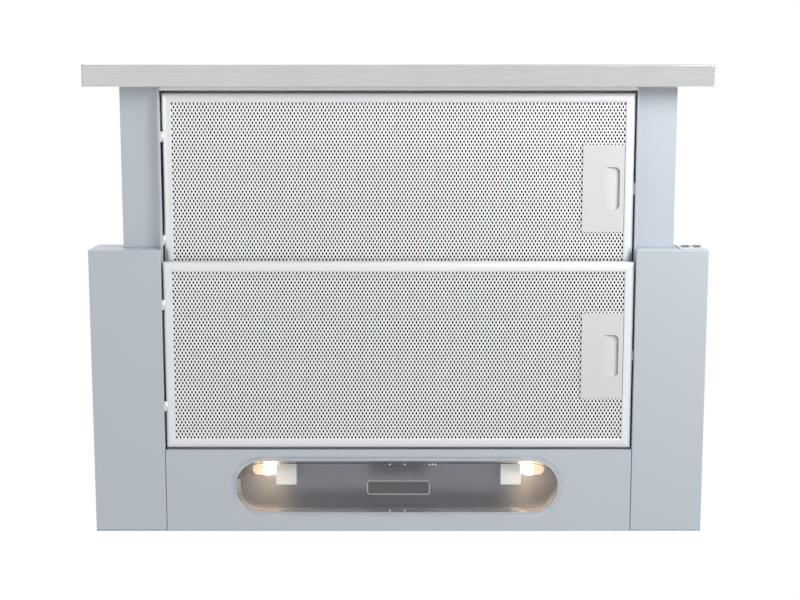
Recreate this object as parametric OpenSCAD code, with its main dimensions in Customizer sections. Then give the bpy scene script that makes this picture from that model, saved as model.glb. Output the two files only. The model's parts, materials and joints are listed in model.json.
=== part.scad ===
// Pull-out range hood, seen with its drawer pulled forward.
// Millimetres. +Z is up, the front faces -Y, and Y = 0 is the face against the wall.

/* [Casing] */
// Width of each side column beside the filters
column_w = 69.5; // [66:0.5:80]
// Gap between the casing's front edge and the fixed filter
front_margin = 12; // [8:0.5:20]
// Seam between the fixed filter and the lamp panel
seam = 1.8; // [1:0.1:2.5]
// Depth of the lamp panel, front to back
lamp_panel_d = 82.2; // [78:0.2:100]
// Thickness of the folded steel sheet
sheet = 1; // [0.8:0.1:1.2]
// Height of the upright lip beside the filters
lip_h = 10; // [9:0.5:11]
// Free height over the drawer
headroom = 6; // [5:0.5:12]
// Radius of the holes that hang the hood in its cabinet
cabinet_hole_r = 2.5; // [2:0.1:3]
// Distance of these holes from the casing's outer side
cabinet_hole_in = 15; // [10:0.5:18]

/* [Upper housing] */
// How far the upper housing reaches out over the drawer rails
housing_over = 10.5; // [9.5:0.5:10.5]
// Height of the whole casing without its outlet
housing_top = 155; // [152:1:175]
// Distance from the casing's front to the upper housing's front
housing_setback = 20; // [10:1:24]
// Width of the foot that the housing walls stand on
foot_w = 13; // [12:0.5:16]

/* [Filters] */
// Width of a grease filter
filter_w = 454; // [420:1:480]
// Depth of a grease filter, front to back
filter_d = 183; // [170:1:200]
// Thickness of a grease filter
filter_t = 9; // [8.5:0.1:10]
// Gap on each side of a filter
filter_gap = 1.5; // [1.2:0.1:2]
// Width of the band round a filter
band_w = 9; // [7:0.5:11]
// Thickness of that band on the underside
band_t = 1.6; // [1.2:0.1:1.8]
// Thickness of the filter's outer wall
frame_wall = 0.8; // [0.6:0.1:1]
// Thickness of the face mesh
mesh_t = 0.8; // [0.5:0.1:1]
// Number of layers in the mesh pack
layers = 4; // [2:1:5]
// Height of the fixed filter over the casing's underside
fixed_filter_z = 0.5; // [0.2:0.1:1]
// Height left between the fixed filter and the drawer filter over it
filter_pass = 5.5; // [5:0.5:8]

/* [Latch handles] */
// Width of the handle plate
handle_w = 40; // [34:1:50]
// Length of the handle plate
handle_l = 84; // [70:1:100]
// Thickness of the handle plate
handle_t = 1.2; // [1:0.1:1.3]
// Width of the finger recess
grip_w = 13.7; // [12:0.1:16]
// Length of the finger recess
grip_l = 41.5; // [36:0.5:50]
// Distance from the handle's right edge to the middle of the recess
grip_in = 11; // [10.5:0.1:13]
// How far the handle slides
latch_travel = 5; // [3:0.5:6]
// Width of the bolt
bolt_w = 10; // [8:0.5:12]

/* [Drawer] */
// How far the drawer stands out of the casing
drawer_out = 155; // [100:1:158]
// Length of the drawer, front to back
drawer_d = 270; // [262:1:271]
// Width of a drawer rail
rail_w = 39.25; // [36:0.25:40]
// Height of a drawer rail
rail_h = 20; // [19:0.5:24]
// Depth of the hem that hangs beside the filter
hem_drop = 7; // [6:0.5:8]
// Thickness of that hem
hem_t = 2.5; // [2:0.1:3]
// Distance from the front strip to the drawer filter
filter_inset = 5.7; // [5:0.1:8]

/* [Front strip] */
// Depth of the front strip
strip_d = 21; // [18:0.5:26]
// Overhang of the strip past the casing on each side
strip_over = 1; // [0.5:0.5:3]
// Height of the folded returns on the strip's back
return_h = 20; // [17:1:21]
// Thickness of the end caps
cap_t = 1.5; // [1:0.1:2]

/* [Runners] */
// Thickness of the runner steel
runner_t = 1.2; // [1:0.1:1.3]
// Diameter of the balls
ball_d = 3.2; // [3:0.1:3.4]
// Length of the ball cage
cage_l = 90; // [70:1:96]

/* [Lamp cover] */
// Length of the lamp cover
lens_l = 324.5; // [300:0.5:340]
// Width of the lamp cover
lens_w = 58.9; // [54:0.1:62]
// Width of the flat lip round the cover
lens_lip = 4.5; // [3.5:0.1:6]
// Wall of the lamp cover
lens_wall = 1.6; // [1.2:0.1:2]
// How far the cover's window stands below the panel
lens_drop = 3.5; // [3:0.1:5]
// Distance from the wall to the middle of the cover
lens_from_wall = 45.4; // [43:0.1:48]
// Offset of the cover to the side
lens_x = -1.5; // [-4:0.5:4]
// Length of the blank label on the cover
label_l = 61; // [50:1:70]
// Width of the label
label_w = 13.8; // [12:0.1:16]

/* [Lamps] */
// Distance between the two lampholders' inner faces
holder_span = 202; // [190:1:206]
// Width of a lampholder
holder_w = 20; // [18:0.5:22]
// Radius of a bulb
bulb_r = 6.5; // [6:0.1:7]
// Length of a bulb's glass
bulb_l = 24; // [20:0.5:26]

/* [Blower] */
// Radius of the impeller
impeller_r = 66; // [60:1:66]
// Width of an impeller blade
blade_w = 13; // [10:0.5:15]
// Number of impeller blades
blades = 30; // [24:1:36]
// Radius of the motor
motor_r = 38; // [34:0.5:38]
// Radius of the motor shaft
shaft_r = 4; // [3:0.1:5]
// Running clearance round the shaft
shaft_clear = 0.05; // [0.03:0.01:0.08]
// Wall of the blower scroll
scroll_wall = 2; // [1.6:0.1:2.2]
// Height between the casing's top and the blower
inlet_gap = 16; // [14:0.5:20]
// Radius of the blower's inlet
inlet_r = 54; // [48:1:54]

/* [Outlet] */
// Outer radius of the duct spigot
spigot_r = 60; // [50:1:60]
// Height of the spigot over the casing
spigot_h = 25; // [22:1:40]
// Wall of the spigot
spigot_wall = 2.5; // [2.4:0.1:3]
// Radius of the flap pins
flap_pin_r = 1.5; // [1.2:0.1:1.8]
// Running clearance round the flap pins
pin_clear = 0.08; // [0.05:0.01:0.1]
// Radius of the cable gland's bore
gland_bore_r = 5; // [4:0.5:6]

/* [Controls] */
// Width of the control fascia
fascia_w = 24; // [23:0.5:24.5]
// Height of the fascia
fascia_h = 32; // [30:1:34]
// Thickness of the fascia
fascia_t = 1.2; // [1:0.1:1.5]
// Travel of the light switch
light_travel = 7; // [5:0.5:9]
// Travel of the speed switch
speed_travel = 12; // [9:0.5:13]
// Size of a slider knob
knob = 7; // [6:0.5:7.5]

/* [Hidden] */
$fn = 64;
e = 0.01; // overshoot of a cut past a face
fit = 0.3; // play between pieces that sit in each other

// Across the hood, from the middle outwards
opening = filter_w / 2 + filter_gap;
half_w = opening + column_w;
plate_in = opening + 4.5;
rail_out = opening + rail_w;
strip_half = half_w + strip_over;
housing_half = opening + sheet + housing_over;
panel_half = opening - 0.5;

// From the wall to the front
body_d = front_margin + filter_d + seam + lamp_panel_d;
front_y = -body_d;
panel_front = -lamp_panel_d;
fixed_filter_y = front_y + front_margin + filter_d / 2;
strip_y = front_y - drawer_out;
drawer_filter_y = strip_y + filter_inset + filter_d / 2;
rail_y = [strip_y + sheet, strip_y + drawer_d];
cross_y = drawer_filter_y + filter_d / 2 + 1;
housing_y = front_y + housing_setback;

// Upwards
drawer_filter_z = fixed_filter_z + filter_t + filter_pass;
rail_z = drawer_filter_z + hem_drop;
rail_top = rail_z + rail_h;
body_h = rail_top + sheet + headroom + sheet;

// Filters, about the middle of their underside
handle_right = filter_w / 2 - band_w - 0.5;
grip_x = handle_right - grip_in;
cup_wall = 1.2;
cup_top = filter_t - 1.5;
cup_left = grip_x - grip_w / 2 - cup_wall;
cup_right = grip_x + grip_w / 2 + cup_wall;
mesh_inset = frame_wall + 0.2;
bolt_z = [3, 7];
bolt_bay = 12;
spring_r = 1.6;
spring_off = 9;
lug_w = 10;
lug_t = 1.5;
lug_out = 3.5;
lug_off = 50;
pivot_in = 0.5; // hinge line, from the frame's left side
pivot_r = 1.1; // rolled root of a lug, round the hinge line
pivot_z = 1.6; // hinge line, over the filter's underside

// Runner section: a is measured outwards from the drawer rail's inner wall
runner_a = opening + sheet;
ball_gap = ball_d + 2 * fit;
moving_half = 5.2;
fixed_half = moving_half + ball_gap + runner_t;
runner_z = rail_z + sheet + 1.5 + fixed_half;
moving_reach = 9;
fixed_web = runner_a + 11;
hanger_a = fixed_web + runner_t;
hanger_w = 15;
runner_y = [front_y + sheet + 6, -20];
moving_y = [strip_y + 19, rail_y[1] - 1];
cage_y = runner_y[0] + 8;

// Lamp cover
window_l = lens_l - 2 * lens_lip;
window_w = lens_w - 2 * lens_lip;
lens_at = [lens_x, -lens_from_wall];
lens_flange = [-0.2 - 1.2, -0.2];
lens_rim = 5;
roll_r = (lens_flange[1] - lens_flange[0]) / 2; // rolled edge that the cover turns on
reflector_z = rail_top - 4;
reflector_t = 0.8;
holder_in = holder_span / 2;
holder_y = [-lens_from_wall - 22, -lens_from_wall + 1];
bulb_at = [-lens_from_wall - 13, 21];
socket_r = 5;
socket_l = 8;

// Blower
volute_r = impeller_r + 6;
plenum_r = spigot_r;
spigot_flange_r = spigot_r + 10;
spigot_at = [0, -spigot_flange_r - 12.5];
fan_at = [spigot_at[0] - plenum_r - volute_r - 3, housing_y / 2 - 2.5];
scroll_z = [body_h + inlet_gap, housing_top - sheet - 4];
cover_t = 2;
scroll_gap = 10; // between the scroll and the housing's left wall
cut_angle = 40;
volute_turn = 310;
volute_step = 10;
volute_left = housing_half - sheet + fan_at[0] - scroll_gap - scroll_wall;
volute_grow = (volute_left - volute_r) * volute_turn / (180 + cut_angle);
motor_top = scroll_z[1] - cover_t - 2;
motor_flange_t = 2;
motor_bottom = motor_top - 43;
bush_off = motor_r + 3;
motor_plug = fan_at + [motor_r - 15, 10 - motor_r];
screw_r = 2;
screw_head_r = 3.5;
screw_head_h = 2;
hub_z = motor_bottom - 5;
blade_in = impeller_r - blade_w;
cup_r = motor_r + 4.5;
wheel_z = [scroll_z[0] + 4.5, motor_top - 6];

// Outlet
spigot_bore = spigot_r - spigot_wall;
flap_z = housing_top + 4.7;
flap_t = 1;
flap_off = flap_pin_r + 1.1;
flap_r = spigot_bore - 0.7;
gland_at = [housing_half - 90, -26];
terminal_x = [housing_half - 125, housing_half - 55];
terminal_y = [-52, -sheet];
terminal_z = [100, 138];
capacitor_at = [housing_half - 35, -80];
capacitor_r = 15;
capacitor_l = 55;

// Controls, on the right column's front
fascia_x = [rail_out + 4.25, rail_out + 4.25 + fascia_w];
fascia_z = [body_h / 2 + 1 - fascia_h / 2, body_h / 2 + 1 + fascia_h / 2];
light_x = fascia_x[0] + fascia_w * 0.27;
speed_x = fascia_x[0] + fascia_w * 0.73;
knob_out = 1.4;
stem_w = 3.6;
stem_h = 5;
slot_play = 0.4;
switch_depth = 15;
slider_z = fascia_z[0] + 5 + stem_h / 2;

// Lips of the drawer's bars, and the ball rows' distance from a cage's ends
bar_lip = 12;
cross_lip = 8;
cage_end = 8;

// Fasteners
foot_screw_x = hanger_a + 4.8;
foot_screw_y = [front_y + 36, -132, -32];
strip_screw_x = [-180, -60, 60, 180];
strip_screw_z = rail_top - 6;
spigot_screw_off = spigot_r + 5;
cabinet_hole_y = [front_y + 39, -40];

paint = "LightSteelBlue";
steel = "Gainsboro";
white = "WhiteSmoke";
mesh_grey = "Silver";
clear = "AliceBlue";
zinc = "DarkGray";
black = "DimGray";

// ---------------------------------------------------------------- helpers

// Box from its bounds along each axis
module slab(x, y, z)
    translate([x[0], y[0], z[0]])
        cube([x[1] - x[0], y[1] - y[0], z[1] - z[0]]);

// A piece drawn for the right side, mirrored for the left
module on_side(left) mirror([left ? 1 : 0, 0, 0]) children();

// Rectangle with round corners
module rounded(w, l, r) {
    square([w - 2 * r, l], center = true);
    square([w, l - 2 * r], center = true);
    for (sx = [-1, 1], sy = [-1, 1])
        translate([sx * (w / 2 - r), sy * (l / 2 - r)]) circle(r);
}

// Bar with half-round ends, along X
module stadium(l, w) {
    square([l - w, w], center = true);
    for (s = [-1, 1]) translate([s * (l - w) / 2, 0]) circle(d = w);
}

// Upright round hole or post
module post(at, z, r) translate([at[0], at[1], z[0]]) cylinder(h = z[1] - z[0], r = r);

// Pan-head screw, head up, its seat at the origin
module screw(length) {
    cylinder(h = screw_head_h, r = screw_head_r);
    translate([0, 0, -length]) cylinder(h = length + e, r = screw_r);
}

// Round cable through a list of points that are joined along the axes
module cable(points, r) {
    for (i = [0:len(points) - 2]) {
        run = points[i + 1] - points[i];
        turn = run[0] != 0 ? [0, run[0] > 0 ? 90 : -90, 0]
             : run[1] != 0 ? [run[1] > 0 ? -90 : 90, 0, 0]
             : [run[2] > 0 ? 0 : 180, 0, 0];
        translate(points[i]) rotate(turn) cylinder(h = norm(run), r = r, $fn = 24);
    }
    for (i = [1:len(points) - 2]) translate(points[i]) sphere(r = r, $fn = 24);
}

// ---------------------------------------------------------------- casing

// Slots in the left lip that a filter's hinge lugs sit in
module lug_slots(y, z, depth)
    for (s = [-1, 1])
        slab([opening - e, opening + depth + e], [y + s * lug_off - lug_w / 2 - 1,
              y + s * lug_off + lug_w / 2 + 1], [z + 0.5, z + pivot_z + 4.2]);

// Slot in the right lip that faces the latch bolt
module bolt_slot(y, z, depth)
    slab([opening - e, opening + depth + e], [y - bolt_w / 2 - 1, y + bolt_w / 2 + 1],
         [z + bolt_z[0] - 0.5, z + bolt_z[1] + 0.5]);

module side_box(left) {
    color(paint) on_side(left) difference() {
        union() {
            slab([opening, half_w], [front_y, -sheet], [0, sheet]);
            slab([half_w - sheet, half_w], [front_y, -sheet], [0, body_h]);
            slab([plate_in, half_w], [front_y, -sheet], [body_h - sheet, body_h]);
            slab([opening, opening + sheet], [front_y, -sheet], [0, lip_h]);
            slab([opening, half_w], [front_y, front_y + sheet], [0, body_h]);
        }
        // way through the front wall for the drawer rail
        slab([opening - e, rail_out + 1.25], [front_y - e, front_y + sheet + e],
             [rail_z - 1.5, rail_top + 3]);
        slab([opening - e, plate_in], [front_y - e, front_y + sheet + e],
             [drawer_filter_z - 1.5, body_h + e]);
        for (y = cabinet_hole_y)
            post([half_w - cabinet_hole_in, y], [body_h - sheet - e, body_h + e],
                 cabinet_hole_r);
        for (y = foot_screw_y)
            post([foot_screw_x, y], [body_h - sheet - e, body_h + e], screw_r + 0.1);
        if (left) lug_slots(fixed_filter_y, fixed_filter_z, sheet);
        else {
            bolt_slot(fixed_filter_y, fixed_filter_z, sheet);
            slab([fascia_x[0] + 1.5, fascia_x[1] - 1.5],
                 [front_y - e, front_y + sheet + e],
                 [fascia_z[0] + 1.5, fascia_z[1] - 1.5]);
        }
    }
}
module side_box_left() side_box(true);
module side_box_right() side_box(false);

// T-shaped back of the casing and its upper housing
module rear_panel()
    color(paint) {
        slab([-half_w, half_w], [-sheet, 0], [0, body_h]);
        slab([-housing_half, housing_half], [-sheet, 0], [body_h - e, housing_top - sheet]);
    }

// Folded panel behind the filters, with the lamp cover's opening
module lamp_panel() {
    rise = lip_h + 4;
    ledge_z = fixed_filter_z + filter_t + fit;
    color(paint) difference() {
        union() {
            slab([-panel_half, panel_half], [panel_front, -sheet], [0, sheet]);
            slab([-panel_half, panel_half], [panel_front, panel_front + sheet], [0, rise]);
            slab([-panel_half, panel_half], [-2 * sheet, -sheet], [0, rise]);
            slab([-panel_half, panel_half], [panel_front - 6, panel_front + sheet],
                 [ledge_z, ledge_z + sheet]);
            for (s = [-1, 1])
                slab([min(s * panel_half, s * (panel_half - sheet)),
                      max(s * panel_half, s * (panel_half - sheet))],
                     [panel_front, -sheet], [0, lip_h]);
        }
        translate([lens_at[0], lens_at[1], -e])
            linear_extrude(sheet + 2 * e) stadium(window_l + 1, window_w + 1);
    }
}

// Cross-member over the drawer, folded up into the upper housing's front
module housing_front()
    color(paint) {
        slab([-plate_in, plate_in], [front_y, front_y + sheet], [rail_top + 2.5, body_h]);
        slab([-plate_in, plate_in], [front_y, housing_y + sheet], [body_h - sheet, body_h]);
        slab([-housing_half, housing_half], [housing_y, housing_y + sheet],
             [body_h, housing_top - sheet]);
    }

module housing_wall(left)
    color(paint) on_side(left) difference() {
        union() {
            slab([housing_half - sheet, housing_half], [housing_y + sheet, -sheet],
                 [body_h, housing_top - sheet]);
            slab([housing_half - sheet, housing_half + foot_w], [housing_y + sheet, -sheet],
                 [body_h, body_h + sheet]);
        }
        for (y = foot_screw_y)
            post([foot_screw_x, y], [body_h - e, body_h + sheet + e], screw_r + 0.1);
    }
module housing_left() housing_wall(true);
module housing_right() housing_wall(false);

module housing_top()
    color(paint) difference() {
        slab([-housing_half, housing_half], [housing_y, 0], [housing_top - sheet, housing_top]);
        post(spigot_at, [housing_top - sheet - e, housing_top + e], spigot_r + 0.5);
        post(gland_at, [housing_top - sheet - e, housing_top + e], gland_bore_r + 3.1);
        for (a = [45:90:315])
            post(spigot_at + spigot_screw_off * [cos(a), sin(a)],
                 [housing_top - sheet - e, housing_top + e], screw_r + 0.1);
    }

// Screws through the housing feet, the spigot's flange and the blower cover
module housing_screws()
    color(zinc) {
        for (s = [-1, 1], y = foot_screw_y)
            translate([s * foot_screw_x, y, body_h + sheet]) screw(2 * sheet + 3);
        for (a = [45:90:315])
            translate(concat(spigot_at + spigot_screw_off * [cos(a), sin(a)],
                             [housing_top + 2])) screw(2 + sheet + 3);
        for (a = [90:120:330])
            translate(concat(fan_at + bush_off * [cos(a), sin(a)], [scroll_z[1]]))
                screw(cover_t + 2 + motor_flange_t + 1);
    }

// ---------------------------------------------------------------- runners

// Fixed channel with its hanger, hung under the column's top plate
module runner_fixed(left)
    color(zinc) on_side(left) difference() {
        union() {
            slab([fixed_web, hanger_a], runner_y,
                 [runner_z - fixed_half, runner_z + fixed_half]);
            for (s = [-1, 1])
                slab([runner_a + 3, hanger_a], runner_y,
                     [runner_z + s * (fixed_half - runner_t / 2) - runner_t / 2,
                      runner_z + s * (fixed_half - runner_t / 2) + runner_t / 2]);
            slab([hanger_a - e, hanger_a + runner_t], runner_y,
                 [runner_z - fixed_half, body_h - sheet]);
            slab([hanger_a, hanger_a + hanger_w], runner_y,
                 [body_h - sheet - runner_t, body_h - sheet]);
        }
        for (y = foot_screw_y)
            post([foot_screw_x, y], [body_h - sheet - runner_t - e, body_h], screw_r + 0.1);
    }
module runner_fixed_left() runner_fixed(true);
module runner_fixed_right() runner_fixed(false);

// Inner channel, riveted to the drawer rail
module runner_moving(left)
    color(zinc) on_side(left) {
        slab([runner_a, runner_a + runner_t], moving_y,
             [runner_z - moving_half, runner_z + moving_half]);
        for (s = [-1, 1])
            slab([runner_a, runner_a + moving_reach], moving_y,
                 [runner_z + s * (moving_half - runner_t / 2) - runner_t / 2,
                  runner_z + s * (moving_half - runner_t / 2) + runner_t / 2]);
    }
module runner_moving_left() runner_moving(true);
module runner_moving_right() runner_moving(false);

// Cage with its two rows of balls between the channels
module ball_cage(left) {
    row = moving_half + ball_gap / 2;
    y = [cage_y, cage_y + cage_l];
    color(black) on_side(left) {
        slab([runner_a + moving_reach + 0.6, fixed_web - 0.6], y,
             [runner_z - row - 0.4, runner_z + row + 0.4]);
        for (s = [-1, 1]) {
            slab([runner_a + 4.2, fixed_web - 0.6], y,
                 [runner_z + s * row - 0.4, runner_z + s * row + 0.4]);
            for (t = [cage_end:(cage_l - 2 * cage_end) / 4:cage_l - cage_end + e])
                translate([runner_a + 6, y[0] + t, runner_z + s * row])
                    sphere(d = ball_d, $fn = 32);
        }
    }
}
module ball_cage_left() ball_cage(true);
module ball_cage_right() ball_cage(false);

// ---------------------------------------------------------------- drawer

module drawer_rail(left)
    color(paint) on_side(left) difference() {
        union() {
            slab([opening, opening + hem_t], rail_y, [drawer_filter_z, rail_z + sheet]);
            slab([opening, opening + sheet], rail_y, [drawer_filter_z, rail_top]);
            slab([opening, rail_out], rail_y, [rail_z, rail_z + sheet]);
            slab([rail_out - sheet, rail_out], rail_y, [rail_z, rail_top]);
        }
        if (left) lug_slots(drawer_filter_y, drawer_filter_z, hem_t);
        else bolt_slot(drawer_filter_y, drawer_filter_z, hem_t);
    }
module drawer_rail_left() drawer_rail(true);
module drawer_rail_right() drawer_rail(false);

// Folded bar behind the front strip
module drawer_front_bar()
    color(paint) difference() {
        union() {
            slab([-rail_out, rail_out], [strip_y, strip_y + sheet], [rail_z, rail_top]);
            slab([-opening, opening], [strip_y, strip_y + sheet], [drawer_filter_z, rail_z + e]);
            slab([-opening, opening], [strip_y, strip_y + 3.5],
                 [drawer_filter_z, drawer_filter_z + sheet]);
            slab([-opening, opening], [strip_y, strip_y + bar_lip], [rail_top - sheet, rail_top]);
        }
        for (x = strip_screw_x)
            translate([x, strip_y - e, strip_screw_z]) rotate([-90, 0, 0])
                cylinder(h = sheet + 2 * e, r = screw_r + 0.1);
    }

// Angle behind the drawer filter
module drawer_cross_bar()
    color(paint) {
        slab([-opening, opening], [cross_y, cross_y + sheet],
             [drawer_filter_z - 3, drawer_filter_z + filter_t + 2]);
        slab([-opening, opening], [cross_y, cross_y + cross_lip],
             [drawer_filter_z + filter_t + 1, drawer_filter_z + filter_t + 1 + sheet]);
    }

module drawer_top()
    color(paint) slab([-opening - sheet, opening + sheet], [strip_y, rail_y[1]],
                      [rail_top, rail_top + sheet]);

// Brushed steel strip, folded round top and bottom, with a relief for the sliders
module front_strip() {
    w = strip_half - cap_t;
    y = [strip_y - strip_d, strip_y];
    color(steel) difference() {
        union() {
            slab([-w, w], [y[0], y[0] + sheet], [0, body_h]);
            slab([-w, w], y, [0, sheet]);
            slab([-w, w], y, [body_h - sheet, body_h]);
            slab([-w, w], [y[1] - sheet, y[1]], [0, return_h]);
            slab([-w, w], [y[1] - sheet, y[1]], [body_h - return_h, body_h]);
        }
        slab([fascia_x[0] - 6, w + e], [y[1] - sheet - e, y[1] + e], [sheet, body_h - sheet]);
        for (x = strip_screw_x)
            translate([x, y[1] - sheet - e, strip_screw_z]) rotate([-90, 0, 0])
                cylinder(h = sheet + 2 * e, r = screw_r + 0.1);
    }
}

// Plastic cap: a plate over the strip's end and a plug inside it
module strip_cap(left) {
    w = strip_half - cap_t;
    y = strip_y - strip_d;
    color(white) on_side(left) {
        slab([w, strip_half], [y, strip_y], [0, body_h]);
        slab([w - 8, w], [y + sheet + 0.1, y + sheet + 9], [sheet + 0.1, body_h - sheet - 0.1]);
    }
}
module strip_cap_left() strip_cap(true);
module strip_cap_right() strip_cap(false);

module strip_screws()
    color(zinc) for (x = strip_screw_x)
        translate([x, strip_y + sheet, strip_screw_z]) rotate([-90, 0, 0]) screw(2 * sheet + 3);

// ---------------------------------------------------------------- filters

// Where the two filters lie; children are drawn about the middle of the underside
module in_drawer() translate([0, drawer_filter_y, drawer_filter_z]) children();
module in_casing() translate([0, fixed_filter_y, fixed_filter_z]) children();

// Plan of the finger recess: straight on the left, round on the right
module grip_plan(grow) {
    w = grip_w + 2 * grow;
    l = grip_l + 2 * grow;
    rounded(w, l, 5);
    translate([-w / 4, 0]) square([w / 2, l], center = true);
}

module filter_frame() {
    x = filter_w / 2;
    y = filter_d / 2;
    color(white) difference() {
        union() {
            difference() {
                slab([-x, x], [-y, y], [0, filter_t]);
                slab([-x + frame_wall, x - frame_wall], [-y + frame_wall, y - frame_wall],
                     [band_t, filter_t - frame_wall]);
                slab([-x + band_w, x - band_w], [-y + band_w, y - band_w], [-e, filter_t + e]);
            }
            for (s = [-1, 1]) {
                slab([-x - lug_out, -x + frame_wall],
                     [s * lug_off - lug_w / 2, s * lug_off + lug_w / 2],
                     [pivot_z - lug_t / 2, pivot_z + lug_t / 2]);
                translate([-x + pivot_in, s * lug_off - lug_w / 2, pivot_z])
                    rotate([-90, 0, 0]) cylinder(h = lug_w, r = pivot_r);
            }
        }
        slab([x - frame_wall - e, x + e], [-bolt_w / 2 - fit, bolt_w / 2 + fit],
             [bolt_z[0] - fit, bolt_z[1] + fit]);
    }
}

// Plan of a mesh layer, cut away where the handle's cup slides
module mesh_plan(bay) {
    x = filter_w / 2 - mesh_inset;
    difference() {
        square([2 * x, filter_d - 2 * mesh_inset], center = true);
        translate([cup_left - latch_travel - 0.6, -grip_l / 2 - cup_wall - 0.6])
            square([cup_right - cup_left + latch_travel + 1.2,
                    grip_l + 2 * cup_wall + 1.2]);
        if (bay > 0) translate([cup_right, -bay]) square([x, 2 * bay]);
    }
}

module filter_mesh()
    color(mesh_grey) translate([0, 0, band_t]) linear_extrude(mesh_t) mesh_plan(0);

// Layers of expanded mesh behind the face
module filter_pack() {
    low = band_t + mesh_t + 0.3;
    high = filter_t - frame_wall - 0.5;
    color(mesh_grey) for (i = [0:layers - 1])
        translate([0, 0, low + i * (high - low) / (layers - 1)])
            linear_extrude(0.5) mesh_plan(bolt_bay);
}

// Sliding handle: plate, finger cup and bolt
module filter_handle() {
    color(white) difference() {
        union() {
            translate([handle_right - handle_w / 2, 0, 0.2])
                linear_extrude(handle_t) rounded(handle_w, handle_l, 2);
            translate([grip_x, 0, 0.2]) linear_extrude(cup_top - 0.2) grip_plan(cup_wall);
            slab([grip_x, filter_w / 2 + filter_gap - 0.15], [-bolt_w / 2, bolt_w / 2], bolt_z);
        }
        translate([grip_x, 0, 0.2 - e]) linear_extrude(cup_top - 0.2 - cup_wall) grip_plan(0);
    }
}

// Tension springs that draw the bolt out to the frame's wall
module filter_springs()
    color(zinc) for (s = [-1, 1])
        translate([cup_right, s * spring_off, (bolt_z[0] + bolt_z[1]) / 2])
            rotate([0, 90, 0])
                cylinder(h = filter_w / 2 - frame_wall - cup_right, r = spring_r, $fn = 24);

module drawer_filter_frame() in_drawer() filter_frame();
module drawer_filter_mesh() in_drawer() filter_mesh();
module drawer_filter_pack() in_drawer() filter_pack();
module drawer_filter_handle() in_drawer() filter_handle();
module drawer_filter_springs() in_drawer() filter_springs();
module fixed_filter_frame() in_casing() filter_frame();
module fixed_filter_mesh() in_casing() filter_mesh();
module fixed_filter_pack() in_casing() filter_pack();
module fixed_filter_handle() in_casing() filter_handle();
module fixed_filter_springs() in_casing() filter_springs();

// ---------------------------------------------------------------- lamps

// Clear cover: a flat lip, a shallow tray and a rim that enters the panel
module lens()
    color(clear) translate([lens_at[0], lens_at[1], 0]) difference() {
        union() {
            translate([0, 0, lens_flange[0]])
                linear_extrude(lens_flange[1] - lens_flange[0]) stadium(lens_l, lens_w);
            translate([0, 0, -lens_drop])
                linear_extrude(lens_drop + lens_rim) stadium(window_l, window_w);
            translate([lens_l / 2 - roll_r, 0, (lens_flange[0] + lens_flange[1]) / 2])
                rotate([90, 0, 0]) cylinder(h = 14, r = roll_r, center = true);
        }
        translate([0, 0, -lens_drop + lens_wall])
            linear_extrude(lens_drop + lens_rim)
                stadium(window_l - 2 * lens_wall, window_w - 2 * lens_wall);
    }

module lens_label()
    color(zinc) translate([0, lens_at[1], -lens_drop - 0.3])
        linear_extrude(0.3) rounded(label_l, label_w, 2.5);

// Spring clip over the cover's left rim
module lens_catch() {
    x = lens_at[0] - window_l / 2; // outer face of the rim
    y = [lens_at[1] - 6.5, lens_at[1] + 6.5];
    over = lens_rim + fit;
    leg = x + lens_wall + 1.3; // clear of the rim's curve
    color(steel) {
        slab([x - 16, x - 0.8], y, [sheet, sheet + 0.8]);
        slab([x - 1.6, x - 0.8], y, [sheet, over + 0.8]);
        slab([x - 1.6, leg + 0.8], y, [over, over + 0.8]);
        slab([leg, leg + 0.8], y, [1.2, over + 0.8]);
    }
}

// Bright box over the lamp cover; a slot on the left clears the catch
module lamp_reflector()
    color(steel) translate([lens_at[0], lens_at[1], 0]) difference() {
        translate([0, 0, sheet])
            linear_extrude(reflector_z - sheet) stadium(window_l + 10, window_w + 8);
        translate([0, 0, sheet - e])
            linear_extrude(reflector_z - sheet - reflector_t + e)
                stadium(window_l + 10 - 2 * reflector_t, window_w + 8 - 2 * reflector_t);
        slab([-window_l / 2 - 8, -window_l / 2 + 4], [-7, 7],
             [sheet - e, lens_rim + fit + 1.2]);
    }

module lampholder(left)
    color(white) on_side(left) difference() {
        slab([holder_in, holder_in + holder_w], holder_y, [11, reflector_z - reflector_t]);
        translate([holder_in + holder_w - socket_l - fit, bulb_at[0], bulb_at[1]])
            rotate([0, 90, 0]) cylinder(h = socket_l + 1, r = socket_r + 0.05);
    }
module lampholder_left() lampholder(true);
module lampholder_right() lampholder(false);

// Capsule bulb: a base in the holder, a round glass and its domed end
module bulb(left)
    color("LemonChiffon") on_side(left)
        translate([holder_in + holder_w, bulb_at[0], bulb_at[1]]) rotate([0, 90, 0]) {
            translate([0, 0, -socket_l]) cylinder(h = socket_l + 0.3, r = socket_r);
            translate([0, 0, 0.2]) cylinder(h = bulb_l - bulb_r, r = bulb_r);
            translate([0, 0, 0.2 + bulb_l - bulb_r]) sphere(r = bulb_r);
        }
module bulb_left() bulb(true);
module bulb_right() bulb(false);

// ---------------------------------------------------------------- blower

// Plan of the blower: a growing spiral, a straight mouth and a round outlet chamber
module scroll_plan(grow) {
    mouth = spigot_at[0] - fan_at[0];
    spiral = [for (s = [0:volute_step:volute_turn])
        (volute_r + volute_grow * s / volute_turn + grow)
            * [cos(cut_angle - s), sin(cut_angle - s)]];
    translate(fan_at) polygon(concat(spiral,
        [[mouth, volute_r + volute_grow + grow],
         [mouth, volute_r * sin(cut_angle) - grow]]));
    translate(spigot_at) circle(plenum_r + grow);
}

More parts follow.
